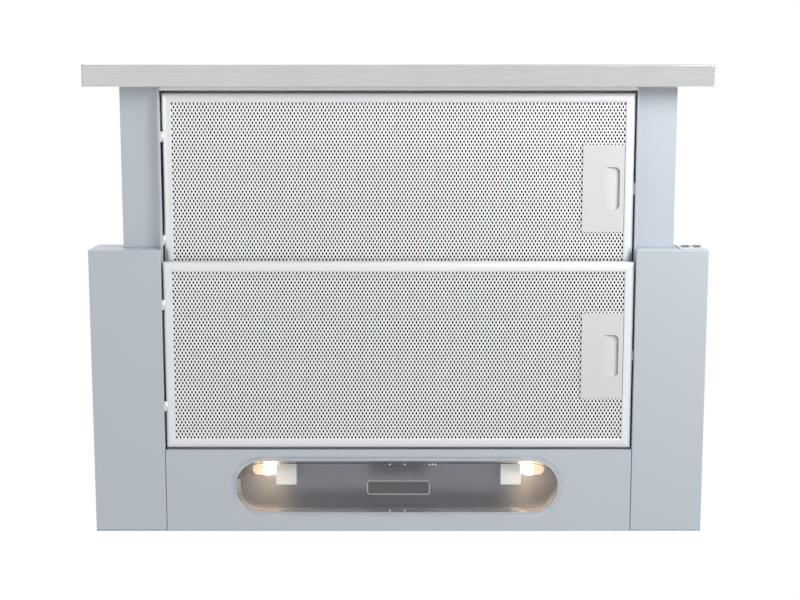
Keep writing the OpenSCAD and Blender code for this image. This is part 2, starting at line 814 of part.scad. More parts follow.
module scroll_housing()
    color(black) difference() {
        union() {
            translate([0, 0, scroll_z[0]])
                linear_extrude(scroll_z[1] - scroll_z[0] - cover_t) scroll_plan(scroll_wall);
            post(fan_at, [scroll_z[0] - 5, scroll_z[0] + e], inlet_r + 2.5);
        }
        translate([0, 0, scroll_z[0] + scroll_wall])
            linear_extrude(scroll_z[1] - scroll_z[0]) scroll_plan(0);
        post(fan_at, [scroll_z[0] - 6, scroll_z[0] + 5], inlet_r);
    }

module scroll_cover()
    color(black) difference() {
        translate([0, 0, scroll_z[1] - cover_t])
            linear_extrude(cover_t) scroll_plan(scroll_wall);
        post(spigot_at, [scroll_z[1] - cover_t - e, scroll_z[1] + e], spigot_bore);
        post(motor_plug, [scroll_z[1] - cover_t - e, scroll_z[1] + e], 3);
        for (a = [90:120:330])
            post(fan_at + bush_off * [cos(a), sin(a)],
                 [scroll_z[1] - cover_t - e, scroll_z[1] + e], screw_r + 0.1);
    }

// Motor with its flange, hung under the cover inside the impeller's cup
module fan_motor()
    color(zinc) difference() {
        union() {
            post(fan_at, [motor_bottom, motor_top - e], motor_r);
            post(fan_at, [motor_top - motor_flange_t, motor_top], bush_off + 6);
        }
        post(fan_at, [motor_bottom - e, motor_top - 4], shaft_r + shaft_clear);
        for (a = [90:120:330])
            post(fan_at + bush_off * [cos(a), sin(a)],
                 [motor_top - motor_flange_t - e, motor_top + e], screw_r + 0.1);
    }

module motor_bushes()
    color(black) for (a = [90:120:330]) difference() {
        post(fan_at + bush_off * [cos(a), sin(a)], [motor_top, motor_top + 2], 5.5);
        post(fan_at + bush_off * [cos(a), sin(a)], [motor_top - e, motor_top + 2 + e],
             screw_r + 0.1);
    }

module motor_shaft()
    color(steel) post(fan_at, [hub_z - 7, motor_top - 5], shaft_r);

// Cup over the motor, with the sleeve that grips the shaft
module impeller_hub()
    color(black) translate([fan_at[0], fan_at[1], 0]) rotate_extrude() {
        bore = shaft_r + shaft_clear;
        translate([bore, hub_z]) square([cup_r + 2 - bore, 2]);
        translate([bore, hub_z - 8]) square([5, 8 + e]);
        translate([cup_r, hub_z]) square([2, wheel_z[1] - hub_z]);
        translate([cup_r, wheel_z[1] - 2]) square([blade_in - cup_r, 2]);
    }

// Two rings and a row of blades, pressed onto the hub's rim
module impeller()
    color(black) translate([fan_at[0], fan_at[1], 0]) {
        rotate_extrude() for (z = [wheel_z[0], wheel_z[1] - 2])
            translate([blade_in, z]) square([impeller_r - blade_in, 2]);
        for (a = [0:360 / blades:359])
            rotate([0, 0, a]) translate([blade_in + 1, 0, wheel_z[0] + 1]) rotate([0, 0, 25])
                cube([impeller_r - blade_in - 2, 1.2, wheel_z[1] - wheel_z[0] - 2]);
    }

// ---------------------------------------------------------------- outlet

module duct_spigot()
    color(black) difference() {
        union() {
            post(spigot_at, [housing_top, housing_top + 2], spigot_flange_r);
            post(spigot_at, [scroll_z[1] + fit, housing_top + spigot_h], spigot_r);
        }
        post(spigot_at, [flap_z - flap_t / 2 - fit, housing_top + spigot_h + e], spigot_bore);
        post(spigot_at, [scroll_z[1], flap_z], spigot_bore - 2);
        for (s = [-1, 1])
            translate([spigot_at[0] + s * flap_off, spigot_at[1], flap_z]) rotate([90, 0, 0])
                cylinder(h = 2 * (spigot_bore + 1.7), r = flap_pin_r + pin_clear,
                         center = true);
        for (a = [45:90:315])
            post(spigot_at + spigot_screw_off * [cos(a), sin(a)],
                 [housing_top - e, housing_top + 2 + e], screw_r + 0.1);
    }

// Half-round flap on its pin; it lifts with the air and falls shut
module flap(left)
    color(white) translate([spigot_at[0], spigot_at[1], flap_z]) on_side(left) {
        translate([0, 0, -flap_t / 2]) linear_extrude(flap_t) intersection() {
            circle(flap_r);
            translate([flap_off, -flap_r]) square([flap_r, 2 * flap_r]);
        }
        translate([flap_off, 0, 0]) rotate([90, 0, 0])
            cylinder(h = 2 * (spigot_bore + 1.4), r = flap_pin_r, center = true);
    }
module flap_left() flap(true);
module flap_right() flap(false);

// ---------------------------------------------------------------- electrics

// Plastic gland in the top panel, with its nut inside
module cable_gland() {
    out = housing_top;
    color(black) difference() {
        union() {
            post(gland_at, [out - sheet - 6, out + e], gland_bore_r + 3);
            post(gland_at, [out - sheet - 5, out - sheet], gland_bore_r + 6);
            post(gland_at, [out, out + 4], gland_bore_r + 7);
            post(gland_at, [out + 4 - e, out + 14], gland_bore_r + 5);
        }
        post(gland_at, [out - sheet - 6 - e, out + 14 + e], gland_bore_r);
    }
}

module terminal_box()
    color(white) {
        slab(terminal_x, terminal_y, terminal_z);
        slab([terminal_x[0] - 1, terminal_x[1] + 1], [terminal_y[0] - 2, terminal_y[0] + e],
             [terminal_z[0] - 1, terminal_z[1] + 1]);
    }

module capacitor()
    color(white) {
        post(capacitor_at, [housing_top - sheet - capacitor_l, housing_top - sheet - 4],
             capacitor_r);
        post(capacitor_at, [housing_top - sheet - 4 - e, housing_top - sheet], 4);
    }

// Leads to the switches, to the motor and to the two lampholders
module wiring_harness() {
    under_top = body_h - sheet - 2 - fit;
    over_cover = scroll_z[1] + 1.8;
    column = rail_out + 7;
    back = -6;
    lamp_z = 28;
    lamp_x = holder_in + holder_w / 2;
    lead_x = spigot_at[0] + plenum_r + 20; // down past the blower's right side
    lead_z = terminal_z[1] - 13;
    plug = motor_plug;
    lead_y = terminal_y[1] - 12;
    lead_low = terminal_z[0] + 10;
    reflector_back = lens_at[1] + window_w / 2 + 4 + 0.1;
    color(black) {
        cable([[terminal_x[1], lead_y, lead_low], [opening - 4, lead_y, lead_low],
               [opening - 4, lead_y, under_top], [column, lead_y, under_top],
               [column, front_y + 9, under_top], [column, front_y + 9, fascia_z[1]]], 2);
        cable([[terminal_x[0], -30, lead_z], [lead_x, -30, lead_z], [lead_x, plug[1], lead_z],
               [lead_x, plug[1], over_cover], [plug[0], plug[1], over_cover],
               [plug[0], plug[1], motor_top + 0.1]], 1.6);
        cable([[terminal_x[0] + 12, back, terminal_z[0]], [terminal_x[0] + 12, back, lamp_z],
               [lamp_x, back, lamp_z], [lamp_x, reflector_back, lamp_z]], 1.6);
        cable([[lamp_x, back, lamp_z], [-lamp_x, back, lamp_z],
               [-lamp_x, reflector_back, lamp_z]], 1.6);
    }
}

// ---------------------------------------------------------------- controls

// Height of the slot that a slider with this travel needs
function slot_h(travel) = travel + stem_h + 2 * slot_play;

module slider_slot(x, y, travel)
    slab([x - stem_w / 2 - slot_play, x + stem_w / 2 + slot_play], y,
         [slider_z - stem_h / 2 - slot_play,
          slider_z - stem_h / 2 - slot_play + slot_h(travel)]);

module control_fascia() {
    y = [front_y - fascia_t, front_y];
    color(black) difference() {
        slab(fascia_x, y, fascia_z);
        slider_slot(light_x, [y[0] - e, y[1] + e], light_travel);
        slider_slot(speed_x, [y[0] - e, y[1] + e], speed_travel);
    }
}

module switch_block() {
    y = [front_y + 0.1, front_y + sheet + switch_depth];
    color(white) difference() {
        union() {
            slab([fascia_x[0] + 1.8, fascia_x[1] - 1.8], y,
                 [fascia_z[0] + 1.8, fascia_z[1] - 1.8]);
            slab(fascia_x, [front_y + sheet, y[1]], fascia_z);
        }
        slider_slot(light_x, [y[0] - e, front_y + 9], light_travel);
        slider_slot(speed_x, [y[0] - e, front_y + 9], speed_travel);
    }
}

// Knob outside the fascia on a stem that runs in the switch
module slider(x)
    color(steel) {
        slab([x - knob / 2, x + knob / 2],
             [front_y - fascia_t - fit - knob_out, front_y - fascia_t - fit],
             [slider_z - knob / 2, slider_z + knob / 2]);
        slab([x - stem_w / 2, x + stem_w / 2], [front_y - fascia_t - fit - e, front_y + 8],
             [slider_z - stem_h / 2, slider_z + stem_h / 2]);
    }
module light_slider() slider(light_x);
module speed_slider() slider(speed_x);

// ---------------------------------------------------------------- all pieces

side_box_left();
side_box_right();
rear_panel();
lamp_panel();
housing_front();
housing_left();
housing_right();
housing_top();
runner_fixed_left();
runner_fixed_right();
lamp_reflector();
lampholder_left();
lampholder_right();
bulb_left();
bulb_right();
lens_catch();
scroll_housing();
scroll_cover();
fan_motor();
motor_bushes();
capacitor();
terminal_box();
cable_gland();
wiring_harness();
duct_spigot();
control_fascia();
switch_block();
housing_screws();
light_slider();
speed_slider();
impeller();
impeller_hub();
motor_shaft();
flap_left();
flap_right();
lens();
lens_label();
drawer_rail_left();
drawer_rail_right();
drawer_front_bar();
drawer_cross_bar();
drawer_top();
front_strip();
strip_cap_left();
strip_cap_right();
strip_screws();
runner_moving_left();
runner_moving_right();
ball_cage_left();
ball_cage_right();
drawer_filter_frame();
drawer_filter_mesh();
drawer_filter_pack();
drawer_filter_handle();
drawer_filter_springs();
fixed_filter_frame();
fixed_filter_mesh();
fixed_filter_pack();
fixed_filter_handle();
fixed_filter_springs();
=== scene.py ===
"""Finishes, fine pieces and studio for a pull-out range hood seen from below."""

import json
import math

import bmesh
import bpy
from mathutils import Matrix, Vector


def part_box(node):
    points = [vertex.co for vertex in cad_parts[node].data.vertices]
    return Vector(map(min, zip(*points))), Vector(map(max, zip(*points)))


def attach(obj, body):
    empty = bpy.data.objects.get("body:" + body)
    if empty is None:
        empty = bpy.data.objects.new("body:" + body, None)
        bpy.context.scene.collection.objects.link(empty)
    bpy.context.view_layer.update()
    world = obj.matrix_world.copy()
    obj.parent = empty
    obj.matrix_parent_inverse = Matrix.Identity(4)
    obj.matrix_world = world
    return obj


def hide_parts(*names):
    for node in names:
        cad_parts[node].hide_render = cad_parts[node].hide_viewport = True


bl_info = {
    "name": "Pull-out Range Hood",
    "version": (1, 0, 0),
    "blender": (4, 5, 0),
    "location": "View3D > Sidebar > Hood",
    "description": "Finishes, fine pieces and studio for a pull-out range hood",
    "category": "Object",
}

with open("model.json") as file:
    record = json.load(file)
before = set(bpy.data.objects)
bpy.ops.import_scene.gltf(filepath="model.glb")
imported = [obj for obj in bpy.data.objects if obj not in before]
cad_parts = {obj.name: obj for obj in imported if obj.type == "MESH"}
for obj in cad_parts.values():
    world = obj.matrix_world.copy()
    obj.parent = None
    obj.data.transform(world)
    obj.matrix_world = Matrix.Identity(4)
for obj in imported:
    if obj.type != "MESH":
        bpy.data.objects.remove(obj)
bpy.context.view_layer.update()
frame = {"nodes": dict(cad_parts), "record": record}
NODES = frame["nodes"]

# Lengths are in metres. Points nearer than WELD are one point, faces that meet at less than FLAT
# are one face, and edges sharper than SHARP are rounded, with a wide radius from LONG_EDGE on.
WELD = 0.000002
CELL_WELD = 0.00001
ON_EDGE = 0.00001
ON_FOLD = 0.00003
FLAT = math.radians(0.8)
SHARP = math.radians(40)
CREASE = math.radians(34)
LONG_EDGE = 0.02
SQUARE = 0.99996
SAME_SIDE = 0.6
FILTERS = ("drawer_filter", "fixed_filter")
FILTER_WIDTH = 0.454
BOLT_SLOT = {"length": 0.0106, "low": 0.0027, "high": 0.0073}
BEAD = {"width": 0.0005, "proud": 0.00006}
HEM = {"start": 0.0007, "turn": 0.0002, "corner": 0.0003}
CUP = {"left": 0.01535, "right": 0.03765, "half": 0.02255, "bolt": 0.012}
PACK = {"layers": 3, "inset": (0.0006, 0.0013), "relief": 0.0004, "depth": 0.0011, "foil": 0.0003}
RECESS = {
    "left": 0.02225,
    "width": 0.0135,
    "length": 0.0413,
    "corner": 0.0049,
    "depth": 0.0062,
    "steps": 14,
    "curve": 1.4,
}
STEP = {
    "width": 0.004,
    "length": 0.041,
    "corner": 0.0009,
    "low": -0.00012,
    "high": 0.0001,
    "left": 0.0021,
}
HANDLE_EDGE = 0.0004
HOLDER_SHARE, LENS_SHARE = 0.7, 1.1  # of the plastic edge
SPRING_TURNS = 9.0
PIP = {
    "inset": 0.0062,
    "length": 0.0015,
    "corner": 0.0007,
    "half": 0.0002,
    "front": (
        (-0.0085, 0.0016),
        (0.0062, 0.0016),
        (0.0305, 0.0015),
        (0.0335, 0.0015),
        (0.0365, 0.0015),
    ),
    "back": ((-0.0085, 0.0016), (0.0062, 0.0016)),
}
LUG = {
    "off": 0.05,
    "width": 0.01,
    "out": 0.0035,
    "inside": 0.0004,
    "corner": 0.0009,
    "sheet": 0.0015,
    "height": 0.0016,
    "root": 0.0011,
    "pivot": 0.0005,
}
RIVET_X = 0.2385
RIVET_BACK = 0.0022
BORDER = {"corner": 0.0025, "inner_corner": 0.0019, "inset": 0.0012, "half": 0.0001}
MARK = {"radii": (0.0006, 0.0008, 0.001), "first": 0.0065, "step": 0.0055, "crown": 0.6}
MARK_HEIGHTS = (-0.0002, 0.0001, 0.0003)
RIB = {
    "share": 0.55,
    "width": 0.0011,
    "corner": 0.0003,
    "step": 0.0035,
    "low": -0.0003,
    "high": 0.0002,
}
CROSS = {"long": 0.0034, "narrow": 0.0007, "corner": 0.0002, "low": -0.0011, "high": 0.001}

# Profiles of turned shapes, as (distance along the axis, radius)
RIVET = ((-0.0003, 0.0), (-0.0003, 0.0009), (0.0001, 0.0009), (0.00035, 0.0006), (0.0004, 0.0))
BULB_NECK = ((0.0, 0.0), (0.0, 0.0049), (0.0081, 0.0049), (0.0084, 0.0042), (0.0105, 0.0046))
BULB_SHOULDER, SHOULDER_SHARE, BULB_FULL = 0.0125, 0.93, 0.0145
SCREW = (
    (-0.006, 0.0),
    (-0.006, 0.0012),
    (-0.0052, 0.0019),
    (-0.002, 0.0019),
    (-0.002, 0.0035),
    (-0.0011, 0.0035),
    (-0.0004, 0.003),
    (0.0, 0.0019),
    (0.0, 0.0),
)
FOLDED = ("side_box_left", "side_box_right", "drawer_rail_left", "drawer_rail_right")
SHEET_METAL = (
    "side_box_left",
    "side_box_right",
    "rear_panel",
    "lamp_panel",
    "housing_front",
    "housing_left",
    "housing_right",
    "housing_top",
    "drawer_rail_left",
    "drawer_rail_right",
    "drawer_cross_bar",
    "drawer_top",
)
LAMPS = (
    ("key_right", (0.75, -0.85, -0.58), 0.6, 10.5),
    ("fill_left", (-1.9, -1.0, -1.5), 1.6, 9.0),
    ("front_top", (-0.6, -2.4, 1.5), 1.6, 4.0),
    ("back_top", (1.2, 1.6, 2.0), 1.6, 18.0),
)
LAMP_TARGET = (0, -0.22, 0.05)
CAMERA = {"spot": (0.0015, -0.4356, -1.3828), "lens": 65.25, "tilt": math.radians(8.43)}
FLOOR = {"size": 30.0, "corner": 2.0, "low": -2.62, "high": -2.6, "glow": 0.6}
SKY = {"light": 0.65, "seen": 0.35}


# ------------------------------------------------------------------ settings


def length(name, description, default):
    return bpy.props.FloatProperty(
        name=name, description=description, default=default, min=0.0, unit="LENGTH", precision=5
    )


def share(name, description, default):
    return bpy.props.FloatProperty(
        name=name, description=description, default=default, min=0.0, max=1.0, subtype="FACTOR"
    )


def colour(name, description, default):
    return bpy.props.FloatVectorProperty(
        name=name,
        description=description,
        default=default,
        size=3,
        min=0.0,
        max=1.0,
        subtype="COLOR",
    )


class HoodSizes(bpy.types.PropertyGroup):
    """Sizes of the fine pieces"""

    pitch_across: length("Mesh pitch across", "Width of one diamond of the face mesh", 0.0035)
    pitch_along: length("Mesh pitch along", "Length of one diamond of the face mesh", 0.006)
    mesh_open: share("Mesh opening", "Size of a hole against its diamond", 0.62)
    mesh_relief: length("Strand relief", "Height of the rounded strands", 0.0001)
    mesh_depth: length("Strand depth", "Thickness of the face mesh's strands", 0.00045)
    pack_across: length("Pack pitch across", "Width of one diamond of the inner layers", 0.007)
    pack_along: length("Pack pitch along", "Length of one diamond of the inner layers", 0.0115)
    pack_open: share("Pack opening", "Size of a hole of the inner layers", 0.7)
    metal_edge: length("Sheet metal edge", "Rounding of folded sheet edges", 0.0003)
    fold_edge: length("Fold", "Outer radius of the visible folds of rails and columns", 0.00075)
    band_width: length("Frame band", "Width of a filter frame's band", 0.009)
    band_slope: length("Frame slope", "Width of the sloped outer part of the band", 0.0066)
    band_rise: length("Frame rise", "How far the slope rises to the frame's side", 0.0031)
    band_thickness: length("Frame sheet", "Thickness of the band", 0.0016)
    side_thickness: length("Frame side", "Thickness of the frame's sides", 0.0008)
    strip_edge: length("Strip edge", "Rounding of the strip's lower front edge", 0.0016)
    ramp_low: length("Recess, left side", "Depth of the finger recess on its left", 0.0009)
    ramp_deep: length("Recess, right side", "Depth of the finger recess on its right", 0.0031)
    plastic_edge: length("Plastic edge", "Rounding of moulded edges", 0.0005)
    spring_wire: length("Spring wire", "Radius of the latch springs' wire", 0.0003)


class HoodColours(bpy.types.PropertyGroup):
    """Colours of the finishes"""

    paint: colour("Silver paint", "Casing, drawer and housing", (0.50, 0.545, 0.595))
    strip: colour("Brushed steel", "Front strip", (0.71, 0.715, 0.73))
    bright: colour("Anodised aluminium", "Filter frames", (0.82, 0.835, 0.85))
    strand: colour("Expanded mesh", "Face mesh of the filters", (0.96, 0.965, 0.97))
    # The inner layers' near-black colour is painted shade: real layers are bright aluminium and
    # look dark only from the shade deep inside the filter
    layers: colour("Inner layers", "Shaded layers behind the face mesh", (0.012, 0.012, 0.013))
    # The bar's pale colour is painted light: it is the same silver paint, lightened to offset the
    # shade that the strip casts on the bar
    bar: colour("Bar paint", "Front bar, behind the strip", (0.9, 0.92, 0.95))
    handle: colour("Handle plastic", "Latch handles", (0.60, 0.61, 0.605))
    clear: colour("Clear plastic", "Lamp cover", (0.93, 0.94, 0.95))
    glow: colour("Lamp glow", "Light of the bulbs", (1.0, 0.64, 0.34))
    dark: colour("Black plastic", "Blower, spigot and gland", (0.022, 0.022, 0.024))


# ------------------------------------------------------------------ shader groups


def shader_group(name, inputs, outputs):
    """An empty group with its sockets, and its input and output nodes."""
    tree = bpy.data.node_groups.new(name, "ShaderNodeTree")
    for label, kind, default in inputs:
        socket = tree.interface.new_socket(label, in_out="INPUT", socket_type=kind)
        socket.default_value = default
    for label, kind in outputs:
        tree.interface.new_socket(label, in_out="OUTPUT", socket_type=kind)
    return tree, tree.nodes.new("NodeGroupInput"), tree.nodes.new("NodeGroupOutput")


EFFECT_INPUTS = (
    ("Colour", "NodeSocketColor", (0.8, 0.8, 0.8, 1.0)),
    ("Roughness", "NodeSocketFloat", 0.4),
    ("Scale", "NodeSocketFloat", 500.0),
    ("Amount", "NodeSocketFloat", 0.1),
)
EFFECT_OUTPUTS = (
    ("Colour", "NodeSocketColor"),
    ("Roughness", "NodeSocketFloat"),
    ("Height", "NodeSocketFloat"),
)


def math_node(tree, operation, a, b):
    node = tree.nodes.new("ShaderNodeMath")
    node.operation = operation
    for slot, value in enumerate((a, b)):
        if isinstance(value, (int, float)):
            node.inputs[slot].default_value = value
        else:
            tree.links.new(value, node.inputs[slot])
    return node.outputs[0]


def dimmed(tree, colour, gain):
    node = tree.nodes.new("ShaderNodeVectorMath")
    node.operation = "SCALE"
    tree.links.new(colour, node.inputs[0])
    tree.links.new(gain, node.inputs["Scale"])
    return node.outputs[0]


def shaded_colour(tree, base, mask, amount):
    """The base colour, lighter and darker round its own value as the mask says."""
    spread = math_node(tree, "MULTIPLY", math_node(tree, "SUBTRACT", mask, 0.5), amount)
    return dimmed(tree, base, math_node(tree, "ADD", spread, 1.0))


def noise(tree, vector, scale, detail, roughness=0.5):
    node = tree.nodes.new("ShaderNodeTexNoise")
    node.inputs["Detail"].default_value = detail
    node.inputs["Roughness"].default_value = roughness
    tree.links.new(vector, node.inputs["Vector"])
    if isinstance(scale, (int, float)):
        node.inputs["Scale"].default_value = scale
    else:
        tree.links.new(scale, node.inputs["Scale"])
    return node.outputs["Fac"]


def mixed(tree, first, second, first_share, second_share):
    return math_node(
        tree,
        "ADD",
        math_node(tree, "MULTIPLY", first, first_share),
        math_node(tree, "MULTIPLY", second, second_share),
    )


def flake_pattern(tree, place, scale):
    """Metallic paint: fine flakes over slow, faint changes of tone."""
    fine = noise(tree, place, scale, 2.0)
    slow = noise(tree, place, 4.0, 2.0)
    return mixed(tree, fine, slow, 0.7, 0.3), slow, 0.12, fine


def brushed_pattern(tree, place, scale):
    """Lines drawn along X, as a sanding belt leaves them."""
    stretch = tree.nodes.new("ShaderNodeMapping")
    stretch.inputs["Scale"].default_value = (0.03, 1.0, 1.0)
    tree.links.new(place, stretch.inputs["Vector"])
    lines = noise(tree, stretch.outputs["Vector"], scale, 5.0, 0.65)
    slow = noise(tree, place, 7.0, 2.0)
    return mixed(tree, lines, slow, 0.8, 0.2), lines, 0.25, lines


def moulded_pattern(tree, place, scale):
    """Moulded plastic or rubber: spark-eroded grain and slightly uneven sheen."""
    cells = tree.nodes.new("ShaderNodeTexVoronoi")
    cells.feature = "SMOOTH_F1"
    tree.links.new(place, cells.inputs["Vector"])
    tree.links.new(scale, cells.inputs["Scale"])
    slow = noise(tree, place, 25.0, 3.0)
    return slow, slow, 0.15, cells.outputs["Distance"]


def effect_group(name, pattern):
    """A group whose pattern gives its tone, the drift of its sheen and how far, and its height."""
    tree, start, end = shader_group(name, EFFECT_INPUTS, EFFECT_OUTPUTS)
    place = tree.nodes.new("ShaderNodeTexCoord").outputs["Object"]
    tone, sheen, drift, height = pattern(tree, place, start.outputs["Scale"])
    change = math_node(tree, "MULTIPLY", math_node(tree, "SUBTRACT", sheen, 0.5), drift)
    results = {
        "Colour": shaded_colour(tree, start.outputs["Colour"], tone, start.outputs["Amount"]),
        "Roughness": math_node(tree, "ADD", start.outputs["Roughness"], change),
        "Height": height,
    }
    for label, result in results.items():
        tree.links.new(result, end.inputs[label])
    return tree.name


def glow_group():
    """How strongly a bulb shines: full beside its holder, fading to its tip."""
    tree, start, end = shader_group(
        "Filament Glow",
        (
            ("Colour", "NodeSocketColor", (1.0, 0.8, 0.6, 1.0)),
            ("Full To", "NodeSocketFloat", 0.127),
            ("Dark From", "NodeSocketFloat", 0.134),
        ),
        (("Colour", "NodeSocketColor"),),
    )
    place = tree.nodes.new("ShaderNodeTexCoord").outputs["Object"]
    parts = tree.nodes.new("ShaderNodeSeparateXYZ")
    tree.links.new(place, parts.inputs[0])
    off = math_node(tree, "ABSOLUTE", parts.outputs["X"], 0.0)
    fade = tree.nodes.new("ShaderNodeMapRange")
    fade.interpolation_type = "SMOOTHSTEP"
    tree.links.new(off, fade.inputs["Value"])
    tree.links.new(start.outputs["Full To"], fade.inputs["From Min"])
    tree.links.new(start.outputs["Dark From"], fade.inputs["From Max"])
    fade.inputs["To Min"].default_value = 1.0
    fade.inputs["To Max"].default_value = 0.002
    lit = dimmed(tree, start.outputs["Colour"], fade.outputs["Result"])
    tree.links.new(lit, end.inputs["Colour"])
    return tree


# ------------------------------------------------------------------ materials


def finish(name, effect, base, roughness, scale, amount, bump, metallic=0.0):
    """A Principled material fed by one of the effect groups."""
    material = bpy.data.materials.new(name)
    material.use_nodes = True
    tree = material.node_tree
    shader = tree.nodes["Principled BSDF"]
    group = tree.nodes.new("ShaderNodeGroup")
    group.node_tree = bpy.data.node_groups[effect]
    group.inputs["Colour"].default_value = (*base, 1.0)
    group.inputs["Roughness"].default_value = roughness
    group.inputs["Scale"].default_value = scale
    group.inputs["Amount"].default_value = amount
    tree.links.new(group.outputs["Colour"], shader.inputs["Base Color"])
    tree.links.new(group.outputs["Roughness"], shader.inputs["Roughness"])
    relief = tree.nodes.new("ShaderNodeBump")
    relief.inputs["Strength"].default_value = 1.0
    relief.inputs["Distance"].default_value = bump
    tree.links.new(group.outputs["Height"], relief.inputs["Height"])
    tree.links.new(relief.outputs["Normal"], shader.inputs["Normal"])
    shader.inputs["Metallic"].default_value = metallic
    return material


def lit_bulb(material, glow):
    """Feeds a bulb's emission from the glow along its length."""
    tree = material.node_tree
    group = tree.nodes.new("ShaderNodeGroup")
    group.node_tree = glow_group()
    group.inputs["Colour"].default_value = (*glow, 1.0)
    tree.links.new(group.outputs["Colour"], tree.nodes["Principled BSDF"].inputs["Emission Color"])


def blend_in(tree, share, shader):
    """Mixes a second shader into a material, as far as the share says."""
    blend = tree.nodes.new("ShaderNodeMixShader")
    tree.links.new(share, blend.inputs["Fac"])
    tree.links.new(tree.nodes["Principled BSDF"].outputs["BSDF"], blend.inputs[1])
    tree.links.new(shader, blend.inputs[2])
    tree.links.new(blend.outputs["Shader"], tree.nodes["Material Output"].inputs["Surface"])


def let_light_through(material, tint):
    """Lets lamp light pass a clear piece, which its own shader would block."""
    tree = material.node_tree
    path = tree.nodes.new("ShaderNodeLightPath")
    passing = tree.nodes.new("ShaderNodeBsdfTransparent")
    passing.inputs["Color"].default_value = (tint, tint, tint, 1.0)
    blend_in(tree, path.outputs["Is Shadow Ray"], passing.outputs["BSDF"])


def make_finishes(colours):
    """One material for every look: its name, effect, colour, roughness, scale and so on."""
    flake = effect_group("Metallic Flake", flake_pattern)
    brushed = effect_group("Brushed Lines", brushed_pattern)
    moulded = effect_group("Moulded Grain", moulded_pattern)
    # pip_highlight_white is a painted highlight for the clear cover's pips
    dark, pip_highlight_white = tuple(colours.dark), (0.92, 0.92, 0.92)
    looks = {
        "silver_paint": ("Silver Paint", flake, colours.paint, 0.42, 1400.0, 0.10, 0.00001, 0.35),
        "brushed_strip": ("Brushed Steel", brushed, colours.strip, 0.22, 750.0, 0.38, 0.00002, 1.0),
        # Silver paint lightened as painted light against the strip's shade on the bar
        "bar_painted_light": ("Bar Painted Light", flake, colours.bar, 0.42, 1400.0, 0.08, 0.00001, 0.2),
        "cap_plastic": (
            "Silver Plastic", moulded, (0.55, 0.57, 0.59), 0.4, 2500.0, 0.05, 0.00001, 0.3
        ),
        "pip_painted_highlight": ("Pip Painted Highlight", moulded, pip_highlight_white, 0.3, 2500.0, 0.05, 0.00001),
        "zinc_steel": ("Zinc Plate", flake, (0.50, 0.51, 0.52), 0.38, 300.0, 0.25, 0.00001, 0.8),
        "spring_steel": (
            "Spring Steel", brushed, (0.58, 0.58, 0.58), 0.3, 1500.0, 0.15, 0.00001, 0.95
        ),
        # Grey satin steel whose colour is darkened further as painted shade, for the shade between
        # the lampholders
        "reflector": (
            "Satin Reflector With Painted Shade", flake, (0.235, 0.245, 0.268), 0.29, 45.0, 0.3, 0.0006, 0.85
        ),
        "ceramic": ("Glazed Ceramic", moulded, (0.85, 0.84, 0.8), 0.25, 400.0, 0.05, 0.00002),
        "blower_plastic": ("Black Plastic", moulded, dark, 0.5, 1500.0, 0.3, 0.00003),
        "motor_steel": (
            "Motor Enamel", flake, (0.17, 0.175, 0.18), 0.4, 700.0, 0.2, 0.00002, 0.5
        ),
        "bush_rubber": ("Bush Rubber", moulded, (0.02, 0.02, 0.02), 0.7, 1200.0, 0.3, 0.00004),
        "white_plastic": (
            "White Plastic", moulded, (0.75, 0.75, 0.73), 0.45, 1800.0, 0.05, 0.00002
        ),
        "cable": ("Lead Sheath", moulded, (0.025, 0.025, 0.027), 0.45, 900.0, 0.2, 0.00002),
        "fascia_plastic": (
            "Fascia Plastic", moulded, (0.66, 0.68, 0.70), 0.42, 2200.0, 0.06, 0.00002
        ),
        "knob_plastic": (
            "Grey Lacquer", flake, (0.16, 0.165, 0.175), 0.35, 2500.0, 0.1, 0.00001, 0.2
        ),
        "filter_frame": (
            "Anodised Frame", brushed, colours.bright, 0.36, 1200.0, 0.06, 0.00001, 0.6
        ),
        "filter_mesh": (
            "Expanded Aluminium", flake, colours.strand, 0.36, 900.0, 0.08, 0.00001, 0.8
        ),
        # Near-black painted shade for the inner layers, which are really bright aluminium
        "filter_layers_painted_shade": ("Painted Shade Aluminium", flake, colours.layers, 0.7, 900.0, 0.3, 0.00002),
        "handle_plastic": ("Handle Plastic", moulded, colours.handle, 0.42, 2600.0, 0.03, 0.000012),
        "label_foil": ("Blank Foil", brushed, (0.10, 0.103, 0.11), 0.35, 900.0, 0.15, 0.00001, 0.3),
        "lens_clear": ("Clear Cover", moulded, colours.clear, 0.02, 120.0, 0.0, 0.000004),
        "bulb_glass": ("Lit Bulb", moulded, (0.95, 0.9, 0.8), 0.15, 300.0, 0.05, 0.00001),
    }
    extras = {
        "silver_paint": {"Coat Weight": 0.15, "Coat Roughness": 0.3},
        "bar_painted_light": {"Coat Weight": 0.15},
        "ceramic": {"Coat Weight": 0.4},
        "knob_plastic": {"Coat Weight": 0.3},
        "filter_layers_painted_shade": {"Specular IOR Level": 0.1},
        "handle_plastic": {"Subsurface Weight": 0.05, "Subsurface Scale": 0.002},
        "lens_clear": {"Transmission Weight": 1.0, "IOR": 1.49},
        "bulb_glass": {"Emission Strength": 300.0},
    }
    made = {slot: finish(*look) for slot, look in looks.items()}
    for slot, sockets in extras.items():
        shader = made[slot].node_tree.nodes["Principled BSDF"]
        for label, value in sockets.items():
            shader.inputs[label].default_value = value
    lit_bulb(made["bulb_glass"], colours.glow)
    let_light_through(made["lens_clear"], 0.92)
    return made


FINISH = {}


def dress(piece, slot, look=None):
    """Gives a piece its finish: the look's, if one is given, else the slot's."""
    piece.data.materials.clear()
    piece.data.materials.append(FINISH[look or slot])


# ------------------------------------------------------------------ mesh helpers


def add_piece(name, mesh):
    piece = bpy.data.objects.new(name, mesh)
    bpy.context.scene.collection.objects.link(piece)
    return piece


